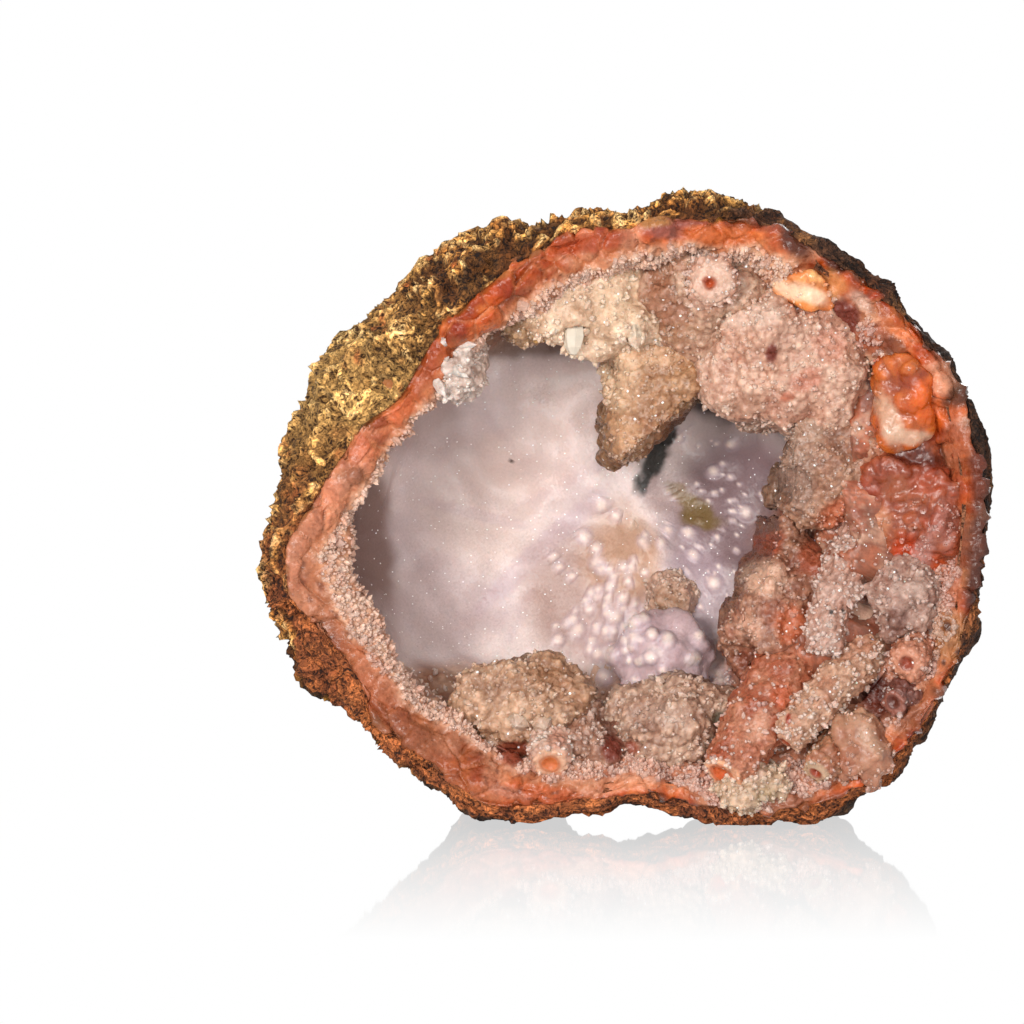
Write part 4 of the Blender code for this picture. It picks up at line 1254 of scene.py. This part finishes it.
def growth_body(name, points, quads, seed):
    """The growth flared towards its foot, set back and trimmed, and how near its front comes."""
    if name in SHRUNK:
        x, z, share = SHRUNK[name]
        points = points * (share, 1, share) + np.array((x, 0, z)) * (1 - share)
    normal = vertex_normals(points, quads)
    nearest = points[:, 1].min()
    wide, uneven = SPREADS.get(name, USUAL_SPREAD)
    flare = wide * ease(nearest + 2.0, nearest + 9.0, points[:, 1])
    flare = flare + uneven * fractal(points, 8.0, 2, seed + 9)
    points = points + normal * flare[:, None] * (1, 0.5, 1)
    for x, z, radius, depth in PRESSED.get(name, ()):
        share = 1 - ease(0.5, 1.2, np.hypot(points[:, 0] - x, points[:, 2] - z) / radius)
        points[:, 1] = np.maximum(points[:, 1], np.minimum(points[:, 1] + depth * share, DEEPEST))
    return kept_inside(points, EDGES.get(name, ())), nearest


def growth_colours(name, points, lumps, first, second, tag, seed):
    """The growth's two colours, paler on its crystals' tips, with painted shade between them and in the
    lumps' low places, and its patches.
    """
    _, finish, *colours = GROWTHS[name][:5]
    one, other, crevice = (rgb(*colour) for colour in colours)
    colours = two_tone(points, one, other, 3.4, seed + 4)
    colours = mix(colours, one * 1.15, ease(0.5, 1.0, tag) * 0.4)
    if finish == "sugar":
        colours = mix(colours, one * 1.3, (1 - ease(0.05, 0.4, first)) * 0.45)
    # Painted shade: the crevice colour between the crystals and in the lumps' low places.
    valley = 1 - ease(0.0, 0.28, second - first)
    colours = mix(colours, crevice, (0.12 if finish == "satin" else 0.5) * valley)
    colours = mix(colours, crevice, 0.6 * ease(0.1, 0.6, -lumps))
    return painted(colours, points, GROWTH_PATCHES.get(name, ()))


def blades(name, seed):
    """The growth's larger single crystals."""
    colour = rgb(*GROWTHS[name][2])[None] * 0.82
    for x, y, z, *lean, wide, long in BLADES.get(name, ()):
        lean = np.array(lean) / math.hypot(*lean)
        yield quartz_points(np.array([(x, y, z)], float), lean[None], wide, long, 0.02, seed, colour, 0)


def make_growth(name, seed):
    """One growth: the CAD's shape with lumps, crystal facets and standing quartz points."""
    slot, finish, *_, (lump, swell), (size, height), (count, width, length) = GROWTHS[name]
    points, quads = cad_piece(name, 0.34, 0.5)
    points, nearest = growth_body(name, points, quads, seed)
    normal = vertex_normals(points, quads)
    lumps = 0.7 * fractal(points, lump, 2, seed) + 0.6 * (0.5 - cells(points, lump * 0.8, seed + 1)[0])
    points = points + normal * (swell * lumps)[:, None]
    normal = vertex_normals(points, quads)
    first, second, tag = cells(points, size, seed + 2)
    fine_first, fine_second, _ = cells(points, 0.62, seed + 3)
    tips = np.clip(0.8 - first, 0, 1) if finish == "sugar" else np.minimum(second - first, 0.75)
    rise = height * (1.25 * tips + 0.4 * (tag - 0.5)) + 0.16 * (fine_second - fine_first)
    points = points + normal * (rise - 0.25 * height)[:, None]
    colours = growth_colours(name, points, lumps, first, second, tag, seed)
    if name in BUMPY:
        points, colours = add_bumps(points, colours, normal)
    # Painted shade: darker further back, towards the growth's foot at the wall.
    colours = colours * (1 - ease(nearest + 4, nearest + 13, points[:, 1]) * PAINTED_FOOT_SHADE)[:, None]
    front = np.flatnonzero((normal[:, 1] < 0.35) & (second - first > 0.12) & (colours.mean(axis=1) > BRIGHT))
    chosen = np.random.default_rng(seed).choice(front, min(count, len(front)), replace=False)
    crystals = [quartz_points(points[chosen], normal[chosen], width, length, 0.45, seed + 5,
                              mix(colours[chosen], WHITE_QUARTZ, 0.1)), *blades(name, seed + 6)]
    points, faces, colours, smooth = with_quartz(points, [quads], colours, crystals)
    piece = name + "_crystals"
    show(piece, mesh_of(piece, points, faces, colours, smooth), FINISHES[finish], slot, [name])


FINGER_ROWS, END_ROWS, FINGER_COLUMNS = 64, 22, 108
# Middle line of each finger from its root to its end: x, y, z, radius.
FINGERS = {
    "stalactite_top": [(12.4, 14, 81, 4.2), (12, 7, 79.6, 4.3), (11.6, 0.4, 78.7, 3.6)],
    "stalactite_white": [
        (34.4, 9.5, 42.4, 3), (31.4, 6, 36.8, 3), (29.4, 3.8, 31, 2.9), (28, 2.8, 25.4, 2.4),
    ],
    "stalactite_salmon": [
        (27, 13, 26.6, 4.6), (22.4, 7.4, 20.6, 5), (17.4, 2.6, 13.4, 4.5), (13.7, -1.2, 8.2, 3.4),
    ],
    "stalactite_long": [
        (36, 7.6, 26.4, 2.8), (31.8, 3.6, 22, 3), (26.4, 0.8, 17, 2.9), (22.8, -0.8, 12.8, 2.3),
    ],
    "stalactite_ring_small": [(33.2, 8.6, 14.6, 3), (30.2, 3.4, 11.6, 3), (27.2, -0.8, 8.2, 2.4)],
    "stalactite_ring_right": [(42.6, 8, 25.6, 3.2), (41.4, 3.6, 24.8, 3.4), (40.2, -0.2, 23.9, 2.7)],
    "stalactite_lilac": [(42, 7.6, 19.2, 2.4), (40.2, 3.2, 18.9, 2.6), (38.4, 0.2, 18.2, 2)],
    "stalactite_bottom": [(-10.6, 9, 12.6, 3.2), (-11.4, 4.6, 11.2, 3.3), (-11.6, 0.8, 9.4, 2.7)],
}
# name: slot, finish, main colour, second colour, ring and core of the end, core's share, points, patches
FINGER_LOOKS = {
    "stalactite_top": (
        "pink_druse", "sugar", (206, 166, 146), (184, 134, 112), (208, 170, 150), (172, 78, 42), 0.16, 260,
        [(11, 79.2, 0.9, 0.5, 20, (150, 66, 36), 0.8)],
    ),
    "stalactite_white": (
        "white_druse", "sugar", (186, 150, 135), (167, 120, 102), (186, 150, 135), (178, 138, 122), 0.3, 300,
        [(29.2, 31.1, 0.36, 0.42, 0, (22, 11, 9), 1), (30.9, 31.2, 0.34, 0.4, 0, (25, 13, 10), 1)],
    ),
    "stalactite_salmon": (
        "salmon_druse", "sugar", (180, 118, 90), (154, 78, 50), (222, 164, 130), (190, 84, 34), 0.42, 180,
        [(18.5, 14.5, 1.6, 3, -30, (196, 144, 118), 0.7), (22, 19, 1.8, 2, 0, (184, 88, 52), 0.7)],
    ),
    "stalactite_long": (
        "white_druse", "sugar", (190, 149, 124), (172, 120, 94), (192, 149, 124), (162, 72, 44), 0.3, 260,
        [(22.8, 15.8, 0.4, 0.9, 0, (145, 45, 25), 0.9)],
    ),
    "stalactite_ring_small": (
        "salmon_druse", "glossy", (174, 128, 99), (156, 96, 70), (185, 154, 127), (153, 64, 38), 0.26, 120,
        [],
    ),
    "stalactite_ring_right": (
        "pink_druse", "sugar", (176, 116, 90), (150, 88, 66), (190, 130, 104), (140, 62, 40), 0.3, 120, [],
    ),
    # Painted shade: this lilac chalcedony finger's colours are darkened because it lies in shade.
    "stalactite_lilac": (
        "lilac_chalcedony", "satin", (134, 88, 76), (104, 58, 48), (140, 86, 72), (88, 38, 26), 0.4, 30, [],
    ),
    "stalactite_bottom": (
        "pink_druse", "satin", (202, 175, 159), (182, 133, 113), (203, 157, 129), (191, 104, 56), 0.4, 100,
        [],
    ),
}


def middle_line(path, count):
    """Places, radii and directions along a finger."""
    stations = np.array(path, float)
    along = np.concatenate([[0], np.cumsum(np.linalg.norm(np.diff(stations[:, :3], axis=0), axis=1))])
    at = np.linspace(0, along[-1], count)
    found = np.stack([np.polyval(np.polyfit(along, stations[:, i], len(stations) - 1), at) for i in range(4)],
                     axis=1)
    ahead = np.gradient(found[:, :3], axis=0)
    return found[:, :3], found[:, 3], ahead / np.linalg.norm(ahead, axis=1, keepdims=True)


def finger_rows(name):
    """Round rows along the finger and in over its end, and for each the share of its radius that is left."""
    middles, radii, ahead = middle_line(FINGERS[name], FINGER_ROWS)
    side = np.cross(ahead, (0, 0, 1))
    side /= np.linalg.norm(side, axis=1, keepdims=True)
    up = np.cross(side, ahead)
    shares = np.concatenate([np.ones(FINGER_ROWS), np.linspace(1, 0, END_ROWS)[1:]])
    row = np.minimum(np.arange(len(shares)), FINGER_ROWS - 1)
    angle = np.arange(FINGER_COLUMNS) * 2 * math.pi / FINGER_COLUMNS
    rim = np.cos(angle)[None, :, None] * side[row][:, None] + np.sin(angle)[None, :, None] * up[row][:, None]
    radius = (radii[row] * shares)[:, None, None]
    radius[0] *= 0.4
    core = FINGER_LOOKS[name][6]
    bulge = radii[-1] * (0.34 * (1 - shares**3) - 0.3 * bell(shares, 0, core * 0.7))
    bulge[:FINGER_ROWS] = 0
    return middles[row][:, None] + rim * radius + ahead[row][:, None] * bulge[:, None, None], rim, shares


def finger_colours(name, flat, share, tail, valley, seed):
    """The finger's two colours with painted shade between its crystals, and on its end a pale ring round an
    orange core.
    """
    _, _, one, other, ring_colour, core_colour, core, _, patches = FINGER_LOOKS[name]
    colours = two_tone(flat, rgb(*one), rgb(*other), 2.6, seed + 2)
    # Painted shade: a darker copy of the second colour between the crystals.
    colours = mix(colours, rgb(*other) * 0.62, valley)
    wobble = share + 0.05 * soft_noise(flat, 1.2, seed + 3)
    face = tail * (1 - ease(0.78, 0.95, wobble))
    colours = mix(colours, rgb(*ring_colour), face * 0.9)
    colours = mix(colours, rgb(*core_colour) * 0.75, tail * bell(wobble, core * 1.25, 0.07) * 0.8)
    colours = mix(colours, rgb(*core_colour), tail * (1 - ease(core, core * 1.2, wobble)))
    return painted(colours, flat, patches, 0.15)


def make_finger(name, seed):
    """One stalactite: a bent, lumpy finger with a banded end."""
    slot, finish, *_, count, _ = FINGER_LOOKS[name]
    points, rim, shares = finger_rows(name)
    flat, quads, caps = closed_grid(points[:-1], points[0].mean(axis=0), points[-1].mean(axis=0))
    normal = vertex_normals(flat, quads)
    if np.einsum("ij,ij->", normal[:FINGER_COLUMNS * 60], rim[:60].reshape(-1, 3)) < 0:
        normal = -normal
    normal[-2:] = 0
    share = np.concatenate([np.repeat(shares[:-1], FINGER_COLUMNS), [1, 0]])
    tail = np.arange(len(shares) - 1) >= FINGER_ROWS
    tail = np.concatenate([np.repeat(tail, FINGER_COLUMNS), [False, True]])
    first, second, tag = cells(flat, 1.1, seed)
    outside = np.where(tail, ease(0.55, 0.9, share), 1.0)
    rise = 0.75 * fractal(flat, 2.6, 3, seed + 1) + 0.8 * (0.5 - cells(flat, 2.8, seed + 6)[0])
    rise = rise + 0.6 * np.minimum(second - first, 0.7) + 0.2 * (tag - 0.5)
    flat = flat + normal * (rise * (0.12 + 0.88 * outside))[:, None]
    # Where painted shade goes: between the crystals, less on the end.
    valley = 0.5 * (1 - ease(0, 0.25, second - first)) * outside
    colours = finger_colours(name, flat, share, tail, valley, seed)
    faces = facing_out(flat, [quads, caps])
    good = np.flatnonzero((outside > 0.6) & (normal[:, 1] < 0.4) & (second - first > 0.1))
    chosen = np.random.default_rng(seed).choice(good, min(count, len(good)), replace=False)
    crystals = quartz_points(flat[chosen], normal[chosen], 0.24, 0.42, 0.45, seed + 4,
                             mix(colours[chosen], WHITE_QUARTZ, 0.3))
    flat, faces, colours, smooth = with_quartz(flat, faces, colours, [crystals])
    piece = name + "_ring"
    show(piece, mesh_of(piece, flat, faces, colours, smooth), FINISHES[finish], slot, [name])


def make_teardrop():
    """The clear crystal that hangs from the fan: eight flat sides and a blunt point."""
    path = [(-8.0, 6.4, 76.0, 0.7), (-8.1, 5.6, 73.6, 1.35), (-8.15, 5.2, 71.0, 1.6), (-8.2, 5.0, 69.4, 1.2),
            (-8.2, 4.9, 68.4, 0.5)]
    rows = []
    for x, y, z, radius in path:
        angle = np.radians(45) * np.arange(8) + 0.2
        bevel = radius * (1 + 0.12 * (np.arange(8) % 2))
        across, along = bevel * np.cos(angle), 0.8 * bevel * np.sin(angle)
        rows.append(np.stack([x + across, y + along, z + 0 * angle], axis=-1))
    points = np.array(rows)
    flat, quads, caps = closed_grid(points, points[0].mean(axis=0), points[-1].mean(axis=0) - (0, 0, 0.25))
    faces = facing_out(flat, [quads, caps])
    colours = np.tile(rgb(244, 232, 214), (len(flat), 1))
    finish = stone("clear_quartz", 0.12, grain=1.0, grain_bump=0.15, vary=0.06, spread=0.05)
    finish.node_tree.nodes["Principled BSDF"].inputs["Transmission Weight"].default_value = 0.35
    smooth = np.full(sum(len(part) for part in faces), False)
    show("teardrop_quartz", mesh_of("teardrop_quartz", flat, faces, colours, smooth), finish, "clear_quartz",
         ["teardrop_crystal"])


make_rind()
make_rim()
make_lining()
for number, growth in enumerate(GROWTHS):
    make_growth(growth, 1000 + 20 * number)
for number, finger in enumerate(FINGERS):
    make_finger(finger, 2000 + 20 * number)
make_teardrop()
